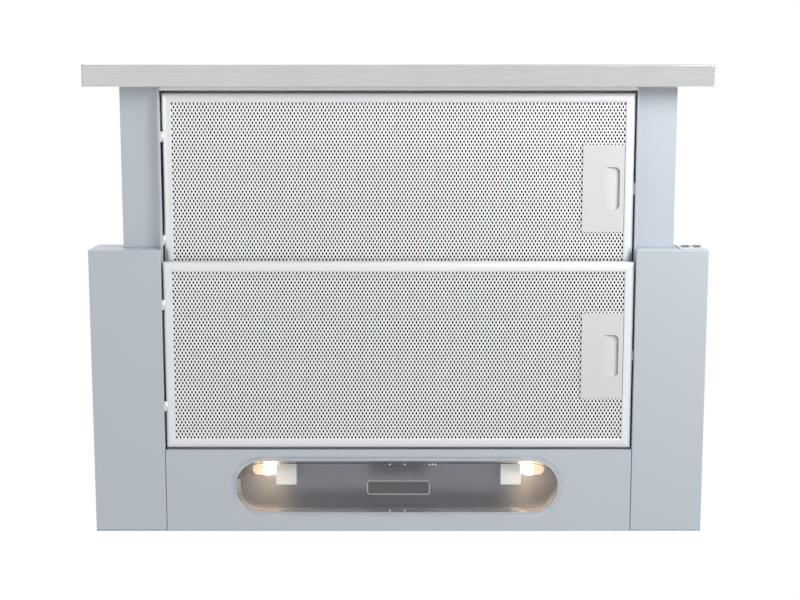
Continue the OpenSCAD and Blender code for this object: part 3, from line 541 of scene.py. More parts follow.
def bake(piece):
    """Turns a piece and its modifiers into a plain mesh."""
    bpy.context.view_layer.update()
    graph = bpy.context.evaluated_depsgraph_get()
    mesh = bpy.data.meshes.new_from_object(piece.evaluated_get(graph))
    old = piece.data
    piece.modifiers.clear()
    piece.data = mesh
    bpy.data.meshes.remove(old)
    return piece


def slot_of(node):
    return next(s["material_slot"] for s in frame["record"]["subparts"] if s["node"] == node)


def body_of(node):
    groups = frame["record"]["behaviour"]["bodies"]
    return next(body for body, members in groups.items() if node in members)


def settle(piece, node, slot, look=None):
    """Dresses a piece and fixes it to the body of a node."""
    dress(piece, slot, look)
    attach(piece, body_of(node))


def as_mesh(work, name):
    """Ends the work on a mesh."""
    mesh = bpy.data.meshes.new(name)
    work.to_mesh(mesh)
    work.free()
    return mesh


def level_normals(mesh):
    """Keeps the shading of panels that lie square to the axes perfectly even."""
    square = {}
    beside = {}
    for face in mesh.polygons:
        axis = max(range(3), key=lambda i: abs(face.normal[i]))
        if abs(face.normal[axis]) < SQUARE:
            continue
        way = Vector((0, 0, 0))
        way[axis] = math.copysign(1.0, face.normal[axis])
        square[face.index] = way
        for vert in face.vertices:
            beside.setdefault(vert, []).append(way)
    normals = []
    current = mesh.corner_normals
    for face in mesh.polygons:
        for loop, vert in zip(face.loop_indices, face.vertices):
            normal = square.get(face.index)
            if normal is None:
                near = [w for w in beside.get(vert, ()) if w.dot(face.normal) > SAME_SIDE]
                normal = max(near, key=face.normal.dot, default=current[loop].vector)
            normals.append(normal.copy())
    mesh.normals_split_custom_set(normals)


def soften(node, radius, segments=2, wide=None, wide_radius=0.0):
    """Stands a copy of a CAD node, with its sharp edges rounded, in the node's place.

    An edge between two points that pass the wide test gets the wide radius.
    """
    mesh = NODES[node].data.copy()
    work = bmesh.new()
    work.from_mesh(mesh)
    bmesh.ops.remove_doubles(work, verts=work.verts, dist=WELD)
    bmesh.ops.dissolve_limit(work, angle_limit=FLAT, verts=work.verts, edges=work.edges)
    if wide:
        chosen = [
            edge
            for edge in work.edges
            if all(wide(vert.co) for vert in edge.verts)
            and edge.calc_face_angle(0.0) > SHARP
            and edge.calc_length() > LONG_EDGE
        ]
        bmesh.ops.bevel(
            work,
            geom=chosen,
            offset=wide_radius,
            segments=4,
            profile=0.5,
            affect="EDGES",
            loop_slide=False,
        )
    bmesh.ops.connect_verts_concave(work, faces=[f for f in work.faces if len(f.verts) > 4])
    for face in work.faces:
        face.smooth = True
    work.to_mesh(mesh)
    work.free()
    piece = add_piece(node + "_soft", mesh)
    bevel = piece.modifiers.new("Edge", "BEVEL")
    bevel.width = radius
    bevel.segments = segments
    bevel.limit_method = "ANGLE"
    bevel.angle_limit = SHARP
    bevel.use_clamp_overlap = True
    bevel.loop_slide = False
    bevel.miter_outer = "MITER_ARC"
    bevel.face_strength_mode = "FSTR_ALL"
    weights = piece.modifiers.new("Flat faces", "WEIGHTED_NORMAL")
    weights.keep_sharp = True
    weights.use_face_influence = True
    bake(piece)
    level_normals(piece.data)
    settle(piece, node, slot_of(node))
    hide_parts(node)
    return piece


def lathe(profile, steps, centre, axis):
    """A closed solid of revolution; the profile is (distance along the axis, radius)."""
    work = bmesh.new()
    turn = Vector((0, 0, 1)).rotation_difference(Vector(axis)).to_matrix()
    rings = []
    for along, radius in profile:
        if radius < 1e-6:
            rings.append([work.verts.new(turn @ Vector((0, 0, along)))])
            continue
        ring = []
        for step in range(steps):
            angle = 2 * math.pi * step / steps
            spot = Vector((radius * math.cos(angle), radius * math.sin(angle), along))
            ring.append(work.verts.new(turn @ spot))
        rings.append(ring)
    for low, high in zip(rings, rings[1:]):
        for step in range(steps):
            after = (step + 1) % steps
            corners = [low[step % len(low)], low[after % len(low)]]
            corners += [high[after % len(high)], high[step % len(high)]]
            unique = list(dict.fromkeys(corners))
            if len(unique) > 2:
                work.faces.new(unique)
    bmesh.ops.recalc_face_normals(work, faces=work.faces)
    for face in work.faces:
        face.smooth = True
    bmesh.ops.translate(work, verts=work.verts, vec=Vector(centre))
    return as_mesh(work, "turned")


def merged(meshes, name):
    """One mesh out of several."""
    work = bmesh.new()
    for mesh in meshes:
        work.from_mesh(mesh)
        bpy.data.meshes.remove(mesh)
    return as_mesh(work, name)


def rounded_outline(width, depth, radius, steps=6):
    """Corner-rounded rectangle round the origin, as a list of points."""
    points = []
    for quarter, (sx, sy) in enumerate(((1, 1), (-1, 1), (-1, -1), (1, -1))):
        centre = (sx * (width / 2 - radius), sy * (depth / 2 - radius))
        for step in range(steps + 1):
            angle = math.pi / 2 * (quarter + step / steps)
            x, y = radius * math.cos(angle), radius * math.sin(angle)
            points.append((centre[0] + x, centre[1] + y))
    return points


def slab_mesh(outline, low, high, hole=None):
    """A plate between two heights, with an optional hole of as many points."""
    work = bmesh.new()
    rows = []
    for points in (outline, hole) if hole else (outline,):
        for height in (low, high):
            rows.append([work.verts.new((x, y, height)) for x, y in points])
    count = len(outline)
    for i in range(count):
        j = (i + 1) % count
        work.faces.new((rows[0][i], rows[0][j], rows[1][j], rows[1][i]))
        if hole:
            work.faces.new((rows[2][j], rows[2][i], rows[3][i], rows[3][j]))
            work.faces.new((rows[0][j], rows[0][i], rows[2][i], rows[2][j]))
            work.faces.new((rows[1][i], rows[1][j], rows[3][j], rows[3][i]))
    if not hole:
        work.faces.new(list(reversed(rows[0])))
        work.faces.new(rows[1])
    bmesh.ops.recalc_face_normals(work, faces=work.faces)
    return as_mesh(work, "plate")


def shifted(mesh, x, y, z):
    mesh.transform(Matrix.Translation((x, y, z)))
    return mesh


# ------------------------------------------------------------------ geometry trees


class Tree:
    """A Geometry Nodes tree with named inputs, and short calls to build it."""

    def __init__(self, name, **inputs):
        self.tree = bpy.data.node_groups.new(name, "GeometryNodeTree")
        self.tree.is_modifier = True
        face = self.tree.interface
        face.new_socket("Geometry", in_out="INPUT", socket_type="NodeSocketGeometry")
        for label, kind in inputs.items():
            label = label.replace("_", " ")
            face.new_socket(label, in_out="INPUT", socket_type="NodeSocket" + kind)
        face.new_socket("Geometry", in_out="OUTPUT", socket_type="NodeSocketGeometry")
        self.start = self.tree.nodes.new("NodeGroupInput")
        self.end = self.tree.nodes.new("NodeGroupOutput")

    def given(self, label):
        return self.start.outputs[label]

    def add(self, kind, settings=None, **inputs):
        node = self.tree.nodes.new(kind)
        for key, value in (settings or {}).items():
            setattr(node, key, value)
        for key, value in inputs.items():
            socket = node.inputs[int(key[1:]) if key[1:].isdigit() else key.replace("_", " ")]
            if isinstance(value, bpy.types.NodeSocket):
                self.tree.links.new(value, socket)
            else:
                socket.default_value = value
        return node

    def maths(self, operation, a, b):
        return self.add("ShaderNodeMath", {"operation": operation}, i0=a, i1=b).outputs[0]

    def vector(self, x, y, z):
        return self.add("ShaderNodeCombineXYZ", X=x, Y=y, Z=z).outputs[0]

    def scaled(self, vector, by):
        kind = {"operation": "MULTIPLY"}
        return self.add("ShaderNodeVectorMath", kind, i0=vector, i1=by).outputs[0]

    def placed(self, geometry, **inputs):
        return self.add("GeometryNodeSetPosition", Geometry=geometry, **inputs).outputs[0]

    def extruded(self, mesh, **inputs):
        """The node that draws edges out, with the new mesh and its top edges as outputs."""
        return self.add("GeometryNodeExtrudeMesh", {"mode": "EDGES"}, Mesh=mesh, **inputs)

    def instances(self, points, shape):
        return self.add("GeometryNodeInstanceOnPoints", Points=points, Instance=shape).outputs[0]

    def joined(self, *parts):
        node = self.tree.nodes.new("GeometryNodeJoinGeometry")
        for part in reversed(parts):
            self.tree.links.new(part, node.inputs[0])
        return node.outputs[0]

    def finish(self, geometry, material):
        """Realizes the instances, sets the material and closes the tree."""
        real = self.add("GeometryNodeRealizeInstances", Geometry=geometry).outputs[0]
        done = self.add("GeometryNodeSetMaterial", Geometry=real, Material=material)
        self.tree.links.new(done.outputs[0], self.end.inputs[0])

    def apply(self, piece, values):
        """Runs the tree on a piece with these inputs and leaves a plain mesh."""
        modifier = piece.modifiers.new(self.tree.name, "NODES")
        modifier.node_group = self.tree
        names = {
            item.name: item.identifier
            for item in self.tree.interface.items_tree
            if item.item_type == "SOCKET" and item.in_out == "INPUT"
        }
        for label, value in values.items():
            modifier[names[label]] = value
        return bake(piece)


def expanded_sheet_tree():
    """Diamond mesh: a strand round every hole, with a gap where the handle's cup slides."""
    tree = Tree(
        "Expanded Sheet",
        Columns="Int",
        Rows="Int",
        Pitch_Across="Float",
        Pitch_Along="Float",
        Opening="Float",
        Relief="Float",
        Thickness="Float",
        Gap_Low="Float",
        Gap_High="Float",
        Gap_Half_Length="Float",
        Material="Material",
    )
    across, along = tree.given("Pitch Across"), tree.given("Pitch Along")
    grids = []
    for fewer in (0, 1):
        columns = tree.maths("SUBTRACT", tree.given("Columns"), fewer)
        rows = tree.maths("SUBTRACT", tree.given("Rows"), fewer)
        grid = tree.add(
            "GeometryNodeMeshGrid",
            Size_X=tree.maths("MULTIPLY", tree.maths("SUBTRACT", columns, 1), across),
            Size_Y=tree.maths("MULTIPLY", tree.maths("SUBTRACT", rows, 1), along),
            Vertices_X=columns,
            Vertices_Y=rows,
        )
        grids.append(grid.outputs["Mesh"])
    spots = tree.joined(*grids)

    place = tree.add("GeometryNodeInputPosition").outputs[0]
    parts = tree.add("ShaderNodeSeparateXYZ", Vector=place)
    right = tree.maths("GREATER_THAN", parts.outputs["X"], tree.given("Gap Low"))
    left = tree.maths("LESS_THAN", parts.outputs["X"], tree.given("Gap High"))
    near = tree.maths(
        "LESS_THAN",
        tree.maths("ABSOLUTE", parts.outputs["Y"], 0.0),
        tree.given("Gap Half Length"),
    )
    inside = tree.maths("MULTIPLY", tree.maths("MULTIPLY", right, left), near)
    kept = tree.add(
        "GeometryNodeDeleteGeometry", {"domain": "POINT"}, Geometry=spots, Selection=inside
    ).outputs[0]

    ring = tree.add("GeometryNodeMeshCircle", Vertices=4, Radius=1.0).outputs[0]
    half = tree.scaled(tree.vector(across, along, 0.0), (0.5, 0.5, 0.0))
    outline = tree.placed(ring, Position=tree.scaled(place, half))
    front = tree.extruded(outline, Offset_Scale=0.0)
    inner = tree.vector(tree.given("Opening"), tree.given("Opening"), 1.0)
    dished = tree.placed(
        front.outputs["Mesh"],
        Selection=front.outputs["Top"],
        Position=tree.scaled(place, inner),
        Offset=tree.vector(0.0, 0.0, tree.given("Relief")),
    )
    depth = tree.maths("SUBTRACT", tree.given("Thickness"), tree.given("Relief"))
    wall = tree.extruded(
        dished,
        Selection=front.outputs["Top"],
        Offset=tree.vector(0.0, 0.0, depth),
        Offset_Scale=1.0,
    )
    back = tree.extruded(wall.outputs["Mesh"], Selection=wall.outputs["Top"], Offset_Scale=0.0)
    outer = tree.maths("DIVIDE", 1.0, tree.given("Opening"))
    cell = tree.placed(
        back.outputs["Mesh"],
        Selection=back.outputs["Top"],
        Position=tree.scaled(place, tree.vector(outer, outer, 1.0)),
    )
    tree.finish(tree.instances(kept, cell), tree.given("Material"))
    return tree


def coil_tree():
    """Coils along X, one at every point of the input."""
    tree = Tree(
        "Coil Springs",
        Turns="Float",
        Radius="Float",
        Length="Float",
        Wire="Float",
        Material="Material",
    )
    spiral = tree.add(
        "GeometryNodeCurveSpiral",
        Resolution=14,
        Rotations=tree.given("Turns"),
        Start_Radius=tree.given("Radius"),
        End_Radius=tree.given("Radius"),
        Height=tree.given("Length"),
    ).outputs[0]
    wire = tree.add("GeometryNodeCurvePrimitiveCircle", Resolution=6, Radius=tree.given("Wire"))
    coil = tree.add(
        "GeometryNodeCurveToMesh", Curve=spiral, Profile_Curve=wire.outputs[0], Fill_Caps=True
    ).outputs[0]
    laid = tree.add("GeometryNodeTransform", Geometry=coil, Rotation=(0.0, math.pi / 2, 0.0))
    copies = tree.instances(tree.given("Geometry"), laid.outputs[0])
    tree.finish(copies, tree.given("Material"))
    return tree


def scatter_tree():
    """Puts one shape on every point of the input."""
    tree = Tree("Fasteners", Shape="Object", Material="Material")
    shape = tree.add("GeometryNodeObjectInfo", Object=tree.given("Shape"))
    copies = tree.instances(tree.given("Geometry"), shape.outputs["Geometry"])
    tree.finish(copies, tree.given("Material"))
    return tree


def cut_out(piece, shape, use_self=False):
    """Takes a shape away from a piece."""
    cutter = add_piece("cutter", shape)
    cut = piece.modifiers.new("Cut", "BOOLEAN")
    cut.operation = "DIFFERENCE"
    cut.solver = "EXACT"
    cut.use_self = use_self
    cut.object = cutter
    bake(piece)
    bpy.data.objects.remove(cutter)


def points_mesh(name, points):
    mesh = bpy.data.meshes.new(name)
    mesh.from_pydata([tuple(p) for p in points], [], [])
    return mesh


def outward(piece, low_side):
    """Turns a sheet's faces so that those on its low side look down."""
    work = bmesh.new()
    work.from_mesh(piece.data)
    bmesh.ops.remove_doubles(work, verts=work.verts, dist=CELL_WELD)
    under = [face for face in work.faces if face.calc_center_median().z < low_side]
    down = sum(face.normal.z * face.calc_area() for face in under)
    if down > 0:
        bmesh.ops.reverse_faces(work, faces=work.faces)
    work.to_mesh(piece.data)
    work.free()


# ------------------------------------------------------------------ operators


class HOOD_OT_finishes(bpy.types.Operator):
    """Make the finishes and give every CAD node its own"""

    bl_idname = "hood.finishes"
    bl_label = "Finishes"

    def execute(self, context):
        FINISH.update(make_finishes(context.scene.hood_colours))
        for name, node in NODES.items():
            node.data.materials.clear()
            node.data.materials.append(FINISH[slot_of(name)])
        return {"FINISHED"}


class HOOD_OT_sheet_metal(bpy.types.Operator):
    """Round the edges of the folded and moulded pieces"""

    bl_idname = "hood.sheet_metal"
    bl_label = "Soft edges"

    def execute(self, context):
        sizes = context.scene.hood_sizes
        for node in SHEET_METAL:
            low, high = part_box(node)
            soften(
                node,
                sizes.metal_edge,
                wide=self.fold_of(low, high) if node in FOLDED else None,
                wide_radius=sizes.fold_edge,
            )
        bar = soften("drawer_front_bar", sizes.metal_edge)
        # The front bar gets the lightened silver paint as painted light against the strip's shade
        dress(bar, slot_of("drawer_front_bar"), "bar_painted_light")
        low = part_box("front_strip")[0]
        for node in ("front_strip", "strip_cap_left", "strip_cap_right"):
            soften(
                node,
                sizes.metal_edge,
                wide=lambda spot: spot.y < low.y + ON_EDGE and spot.z < low.z + ON_EDGE,
                wide_radius=sizes.strip_edge,
            )
        for node in ("duct_spigot", "control_fascia", "light_slider", "speed_slider"):
            soften(node, sizes.plastic_edge)
        for node in ("lampholder_left", "lampholder_right"):
            soften(node, sizes.plastic_edge * HOLDER_SHARE)
        soften("lens", sizes.plastic_edge * LENS_SHARE)
        self.rivets()
        return {"FINISHED"}

    @staticmethod
    def fold_of(low, high):
        """Test for the points of a box's folds: its lower edges along both sides and the front."""

        def fold(spot):
            beside = spot.x < low.x + ON_FOLD or spot.x > high.x - ON_FOLD
            return spot.z < low.z + ON_FOLD and (beside or spot.y < low.y + ON_FOLD)

        return fold

    @staticmethod
    def rivets():
        """One small rivet near the front of each column's underside."""
        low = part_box("side_box_right")[0]
        heads = [
            lathe(RIVET, 16, (x, low.y + RIVET_BACK, low.z), (0, 0, -1))
            for x in (-RIVET_X, RIVET_X)
        ]
        piece = add_piece("column_rivets", merged(heads, "rivets"))
        settle(piece, "side_box_right", "zinc_steel")


def band_profile(sizes, height):
    """Section of a filter frame, as (distance in from its side, height) round the outline."""
    wide, rise = sizes.band_slope, sizes.band_rise
    lip, sheet, side = sizes.band_width, sizes.band_thickness, sizes.side_thickness
    slope = [
        (wide * (1 - math.cos(math.radians(a))), rise * (1 - math.sin(math.radians(a))))
        for a in range(0, 91, 15)
    ]
    return [
        *slope,
        (lip - HEM["start"], 0.0),
        (lip - HEM["turn"], HEM["turn"]),
        (lip, HEM["start"]),
        (lip, sheet),
        (rise + side, sheet),
        (side, rise + side),
        (side, height - side),
        (lip, height - side),
        (lip, height),
        (HEM["corner"], height),
        (0.0, height - HEM["corner"]),
    ]


def join_rows(work, rows):
    """Faces between neighbouring closed rows of points."""
    for here, there in zip(rows, rows[1:]):
        for i in range(len(here)):
            j = (i + 1) % len(here)
            work.faces.new((here[i], here[j], there[j], there[i]))


def closed_bar(rows, name):
    """A bar with one end in the first closed row of points and the other in the last."""
    work = bmesh.new()
    rows = [[work.verts.new(spot) for spot in row] for row in rows]
    join_rows(work, rows)
    work.faces.new(rows[0])
    work.faces.new(list(reversed(rows[-1])))
    bmesh.ops.recalc_face_normals(work, faces=work.faces)
    return as_mesh(work, name)


def swept_frame(profile, corners, base):
    """A closed, mitred ring with this section inside a rectangle."""
    low, high = corners
    work = bmesh.new()
    rings = []
    for x, way_x, y, way_y in (
        (low.x, 1, low.y, 1),
        (high.x, -1, low.y, 1),
        (high.x, -1, high.y, -1),
        (low.x, 1, high.y, -1),
    ):
        rings.append([work.verts.new((x + way_x * u, y + way_y * u, base + z)) for u, z in profile])
    join_rows(work, rings + rings[:1])
    bmesh.ops.recalc_face_normals(work, faces=work.faces)
    for face in work.faces:
        face.smooth = True
    mitres = {vert: index for index, ring in enumerate(rings) for vert in ring}
    for edge in work.edges:
        along_mitre = mitres[edge.verts[0]] == mitres[edge.verts[1]]
        edge.smooth = not along_mitre and edge.calc_face_angle(0.0) < CREASE
    return as_mesh(work, "ring")


def mitre_bead(profile, corner, ways):
    """A fine bead that follows the section along the mitre of one corner."""
    along = Vector((ways[0], ways[1], 0)).normalized()
    aside = Vector((-along.y, along.x, 0)) * (BEAD["width"] / 2)
    rows = []
    for u, z in profile:
        spot = Vector((corner.x + ways[0] * u, corner.y + ways[1] * u, corner.z + z))
        crown = spot - Vector((0, 0, BEAD["proud"]))
        root = spot + Vector((0, 0, 2 * BEAD["proud"]))
        rows.append([root - aside, crown, root + aside])
    return closed_bar(rows, "bead")


def box_mesh(low, high):
    """A plain block between two corners."""
    middle = ((low[0] + high[0]) / 2, (low[1] + high[1]) / 2)
    wide, deep = high[0] - low[0], high[1] - low[1]
    corners = [(sx * wide / 2, sy * deep / 2) for sx, sy in ((1, 1), (-1, 1), (-1, -1), (1, -1))]
    return shifted(slab_mesh(corners, low[2], high[2]), *middle, 0)


class HOOD_OT_frames(bpy.types.Operator):
    """Make the filter frames: a mitred band with sloped sides, hinge lugs and a bolt slot"""

    bl_idname = "hood.frames"
    bl_label = "Filter frames"

    def execute(self, context):
        sizes = context.scene.hood_sizes
        for kind in FILTERS:
            node = kind + "_frame"
            low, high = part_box(node)
            low.x = high.x - FILTER_WIDTH
            section = band_profile(sizes, high.z - low.z)
            piece = add_piece(kind + "_band", swept_frame(section, (low, high), low.z))
            self.cut_slot(piece, low, high, sizes.side_thickness)
            beads = [
                mitre_bead(section[1:8], Vector((x, y, low.z)), (way_x, way_y))
                for x, way_x in ((low.x, 1), (high.x, -1))
                for y, way_y in ((low.y, 1), (high.y, -1))
            ]
            band = piece.data
            piece.data = merged([band.copy(), *self.lugs(low, high), *beads], node)
            bpy.data.meshes.remove(band)
            settle(piece, node, "filter_frame")
            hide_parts(node)
        return {"FINISHED"}

    @staticmethod
    def cut_slot(piece, low, high, side):
        """Cuts the slot that the latch bolt passes through."""
        middle = (low.y + high.y) / 2
        half = BOLT_SLOT["length"] / 2
        block = box_mesh(
            (high.x - 2 * side, middle - half, low.z + BOLT_SLOT["low"]),
            (high.x + side, middle + half, low.z + BOLT_SLOT["high"]),
        )
        cut_out(piece, block)

    @staticmethod
    def lugs(low, high):
        """The hinge lugs on the left side, each with its rolled root."""
        middle = (low.y + high.y) / 2
        half, sheet, inside = LUG["width"] / 2, LUG["sheet"] / 2, LUG["inside"]
        outline = rounded_outline(LUG["out"] + 2 * inside, LUG["width"], LUG["corner"], 4)
        roll = ((-half, 0.0), (-half, LUG["root"]), (half, LUG["root"]), (half, 0.0))
        made = []
        for y in (middle - LUG["off"], middle + LUG["off"]):
            plate = slab_mesh(outline, LUG["height"] - sheet, LUG["height"] + sheet)
            made.append(shifted(plate, low.x + inside - LUG["out"] / 2, y, low.z))
            centre = (low.x + LUG["pivot"], y, low.z + LUG["height"])
            made.append(lathe(roll, 20, centre, (0, 1, 0)))
        return made


class HOOD_OT_meshes(bpy.types.Operator):
    """Make each filter's face mesh and the layers behind it"""

    bl_idname = "hood.meshes"
    bl_label = "Filter meshes"

    def execute(self, context):
        sizes = context.scene.hood_sizes
        tree = expanded_sheet_tree()
        for kind in FILTERS:
            node = kind + "_mesh"
            low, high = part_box(node)
            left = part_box(kind + "_handle")[0].x - (low.x + high.x) / 2
            cup = (left + CUP["left"], left + CUP["right"], CUP["half"])
            values = {
                "Opening": sizes.mesh_open,
                "Relief": sizes.mesh_relief,
                "Thickness": sizes.mesh_depth,
            }
            pitch = (sizes.pitch_across, sizes.pitch_along)
            face = self.sheet(tree, kind + "_strands", (low, high), pitch, values, low.z, cup)
            settle(face, node, "filter_mesh")
            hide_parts(node)

            node = kind + "_pack"
            low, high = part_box(node)
            values = {
                "Opening": sizes.pack_open,
                "Relief": PACK["relief"],
                "Thickness": PACK["depth"],
            }
            pitch = (sizes.pack_across, sizes.pack_along)
            wider = (cup[0], cup[1] + CUP["bolt"], cup[2])
            layers = []
            for layer in range(PACK["layers"]):
                height = low.z + (high.z - low.z) * layer / PACK["layers"]
                inset = Vector([layer * step for step in PACK["inset"]] + [0])
                corners = (low + inset, high - inset)
                sheet = self.sheet(tree, kind + "_layer", corners, pitch, values, height, wider)
                layers.append(sheet.data)
                bpy.data.objects.remove(sheet)
            layers.append(self.painted_shade_backing(low, high, cup))
            pack = add_piece(kind + "_layers", merged(layers, kind + "_layers"))
            # The layers get the near-black painted-shade finish, not the bright aluminium of the
            # face mesh
            settle(pack, node, "filter_mesh", "filter_layers_painted_shade")
            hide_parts(node)
        return {"FINISHED"}

    @staticmethod
    def painted_shade_backing(low, high, cup):
        """The pack's last layer: a closed sheet in the near-black painted-shade finish that stands
        for the shade deep in the filter, cut away round the handle's cup and bolt.
        """
        middle = (low + high) / 2
        left, half = middle.x + cup[0], cup[2]
        blocks = [
            ((low.x, low.y), (left, high.y)),
            ((left, low.y), (high.x, middle.y - half)),
            ((left, middle.y + half), (high.x, high.y)),
        ]
        foil = high.z - PACK["foil"]
        return merged([box_mesh((*a, foil), (*b, high.z)) for a, b in blocks], "painted_shade_backing")

    @staticmethod
    def sheet(tree, name, corners, pitch, values, height, cup):
        """One expanded sheet between two corners, open where the handle's cup slides."""
        low, high = corners
        piece = add_piece(name, points_mesh(name, [(0, 0, 0)]))
        tree.apply(
            piece,
            {
                "Columns": int((high.x - low.x) / pitch[0]),
                "Rows": int((high.y - low.y) / pitch[1]),
                "Pitch Across": pitch[0],
                "Pitch Along": pitch[1],
                "Gap Low": cup[0] - pitch[0] / 2,
                "Gap High": cup[1] + pitch[0] / 2,
                "Gap Half Length": cup[2] + pitch[1] / 2,
                "Material": FINISH["filter_mesh"],
                **values,
            },
        )
        outward(piece, CELL_WELD)
        shifted(piece.data, (low.x + high.x) / 2, (low.y + high.y) / 2, height)
        return piece


class HOOD_OT_handles(bpy.types.Operator):
    """Round the latch handles, add their thumb pads and wind their springs"""

    bl_idname = "hood.handles"
    bl_label = "Handles"

    def execute(self, context):
        sizes = context.scene.hood_sizes
        coils = coil_tree()
        for kind in FILTERS:
            node = kind + "_handle"
            soften(node, HANDLE_EDGE)
            low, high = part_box(node)
            middle = (low.y + high.y) / 2
            outline = rounded_outline(STEP["width"], STEP["length"], STEP["corner"], 3)
            step = shifted(slab_mesh(outline, STEP["low"], STEP["high"]), -STEP["left"], 0, 0)
            piece = add_piece(kind + "_finger_ramp", merged([self.ramp(sizes), step], "ramp"))
            shifted(piece.data, low.x + RECESS["left"], middle, low.z)
            settle(piece, node, "handle_plastic")

            node = kind + "_springs"
            low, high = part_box(node)
            radius = (high.z - low.z) / 2 - sizes.spring_wire
            middle = (low.z + high.z) / 2
            centres = [(low.x, y, middle) for y in (low.y + radius, high.y - radius)]
            piece = add_piece(kind + "_coils", points_mesh("coils", centres))
            coils.apply(
                piece,
                {
                    "Turns": SPRING_TURNS,
                    "Radius": radius,
                    "Length": high.x - low.x - 2 * sizes.spring_wire,
                    "Wire": sizes.spring_wire,
                    "Material": FINISH["spring_steel"],
                },
            )
            settle(piece, node, "spring_steel")
            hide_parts(node)
        return {"FINISHED"}

    @staticmethod
    def ramp(sizes):
        """The recess's sloped floor: level with the plate on the left, deep on the right."""
        corner, depth, steps = RECESS["corner"], RECESS["depth"], RECESS["steps"]
        rows = []
        for i in range(steps + 1):
            x = RECESS["width"] * i / steps
            over = max(0.0, x - (RECESS["width"] - corner))
            half = RECESS["length"] / 2 - corner
            if i < steps:
                half += math.sqrt(max(corner**2 - over**2, 0.0))
            fall = (i / steps) ** RECESS["curve"]
            top = sizes.ramp_low + (sizes.ramp_deep - sizes.ramp_low) * fall
            rows.append([(x, -half, top), (x, half, top), (x, half, depth), (x, -half, depth)])
        return closed_bar(rows, "ramp")


class HOOD_OT_bulbs(bpy.types.Operator):
    """Make the capsule bulbs with their pinched necks"""

    bl_idname = "hood.bulbs"
    bl_label = "Bulbs"

    def execute(self, context):
        for side, way in (("left", -1), ("right", 1)):
            node = "bulb_" + side
            low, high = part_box(node)
            radius = (high.y - low.y) / 2
            dome = high.x - low.x - radius
            arc = [math.radians(15 * i) for i in range(6)]
            profile = [
                *BULB_NECK,
                (BULB_SHOULDER, radius * SHOULDER_SHARE),
                (BULB_FULL, radius),
                *((dome + radius * math.sin(a), radius * math.cos(a)) for a in arc),
                (high.x - low.x, 0.0),
            ]
            inner = high.x if way < 0 else low.x
            centre = (inner, (low.y + high.y) / 2, (low.z + high.z) / 2)
            piece = add_piece(node + "_capsule", lathe(profile, 32, centre, (way, 0, 0)))
            settle(piece, node, "bulb_glass")
            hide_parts(node)
        return {"FINISHED"}


class HOOD_OT_screws(bpy.types.Operator):
    """Make the cross-head screws of the housing, the spigot and the blower"""

    bl_idname = "hood.screws"
    bl_label = "Screws"

    def execute(self, context):
        node = "housing_screws"
        shape = self.screw()
        tree = scatter_tree()
        seats = self.seats(NODES[node])
        piece = add_piece("housing_screw_heads", points_mesh("seats", seats))
        tree.apply(piece, {"Shape": shape, "Material": FINISH["zinc_steel"]})
        settle(piece, node, "zinc_steel")
        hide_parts(node)
        bpy.data.objects.remove(shape)
        return {"FINISHED"}

    @staticmethod
    def seats(node):
        """Top centre of each loose part of the node, found from its own islands."""
        work = bmesh.new()
        work.from_mesh(node.data)
        bmesh.ops.remove_doubles(work, verts=work.verts, dist=WELD)
        left = set(work.verts)
        seats = []
        while left:
            stack = [left.pop()]
            island = []
            while stack:
                vert = stack.pop()
                island.append(vert.co.copy())
                for edge in vert.link_edges:
                    other = edge.other_vert(vert)
                    if other in left:
                        left.remove(other)
                        stack.append(other)
            top = max(c.z for c in island)
            xs, ys = [c.x for c in island], [c.y for c in island]
            seats.append(((min(xs) + max(xs)) / 2, (min(ys) + max(ys)) / 2, top))
        work.free()
        return sorted(seats)

    @staticmethod
    def screw():
        """Pan head with a cross recess; its top is at the origin."""
        screw = add_piece("screw_shape", lathe(SCREW, 20, (0, 0, 0), (0, 0, 1)))
        across, narrow = CROSS["long"], CROSS["narrow"]
        arms = []
        for wide, deep in ((across, narrow), (narrow, across)):
            outline = rounded_outline(wide, deep, CROSS["corner"], 2)
            arms.append(slab_mesh(outline, CROSS["low"], CROSS["high"]))
        cut_out(screw, merged(arms, "cross"), use_self=True)
        return screw


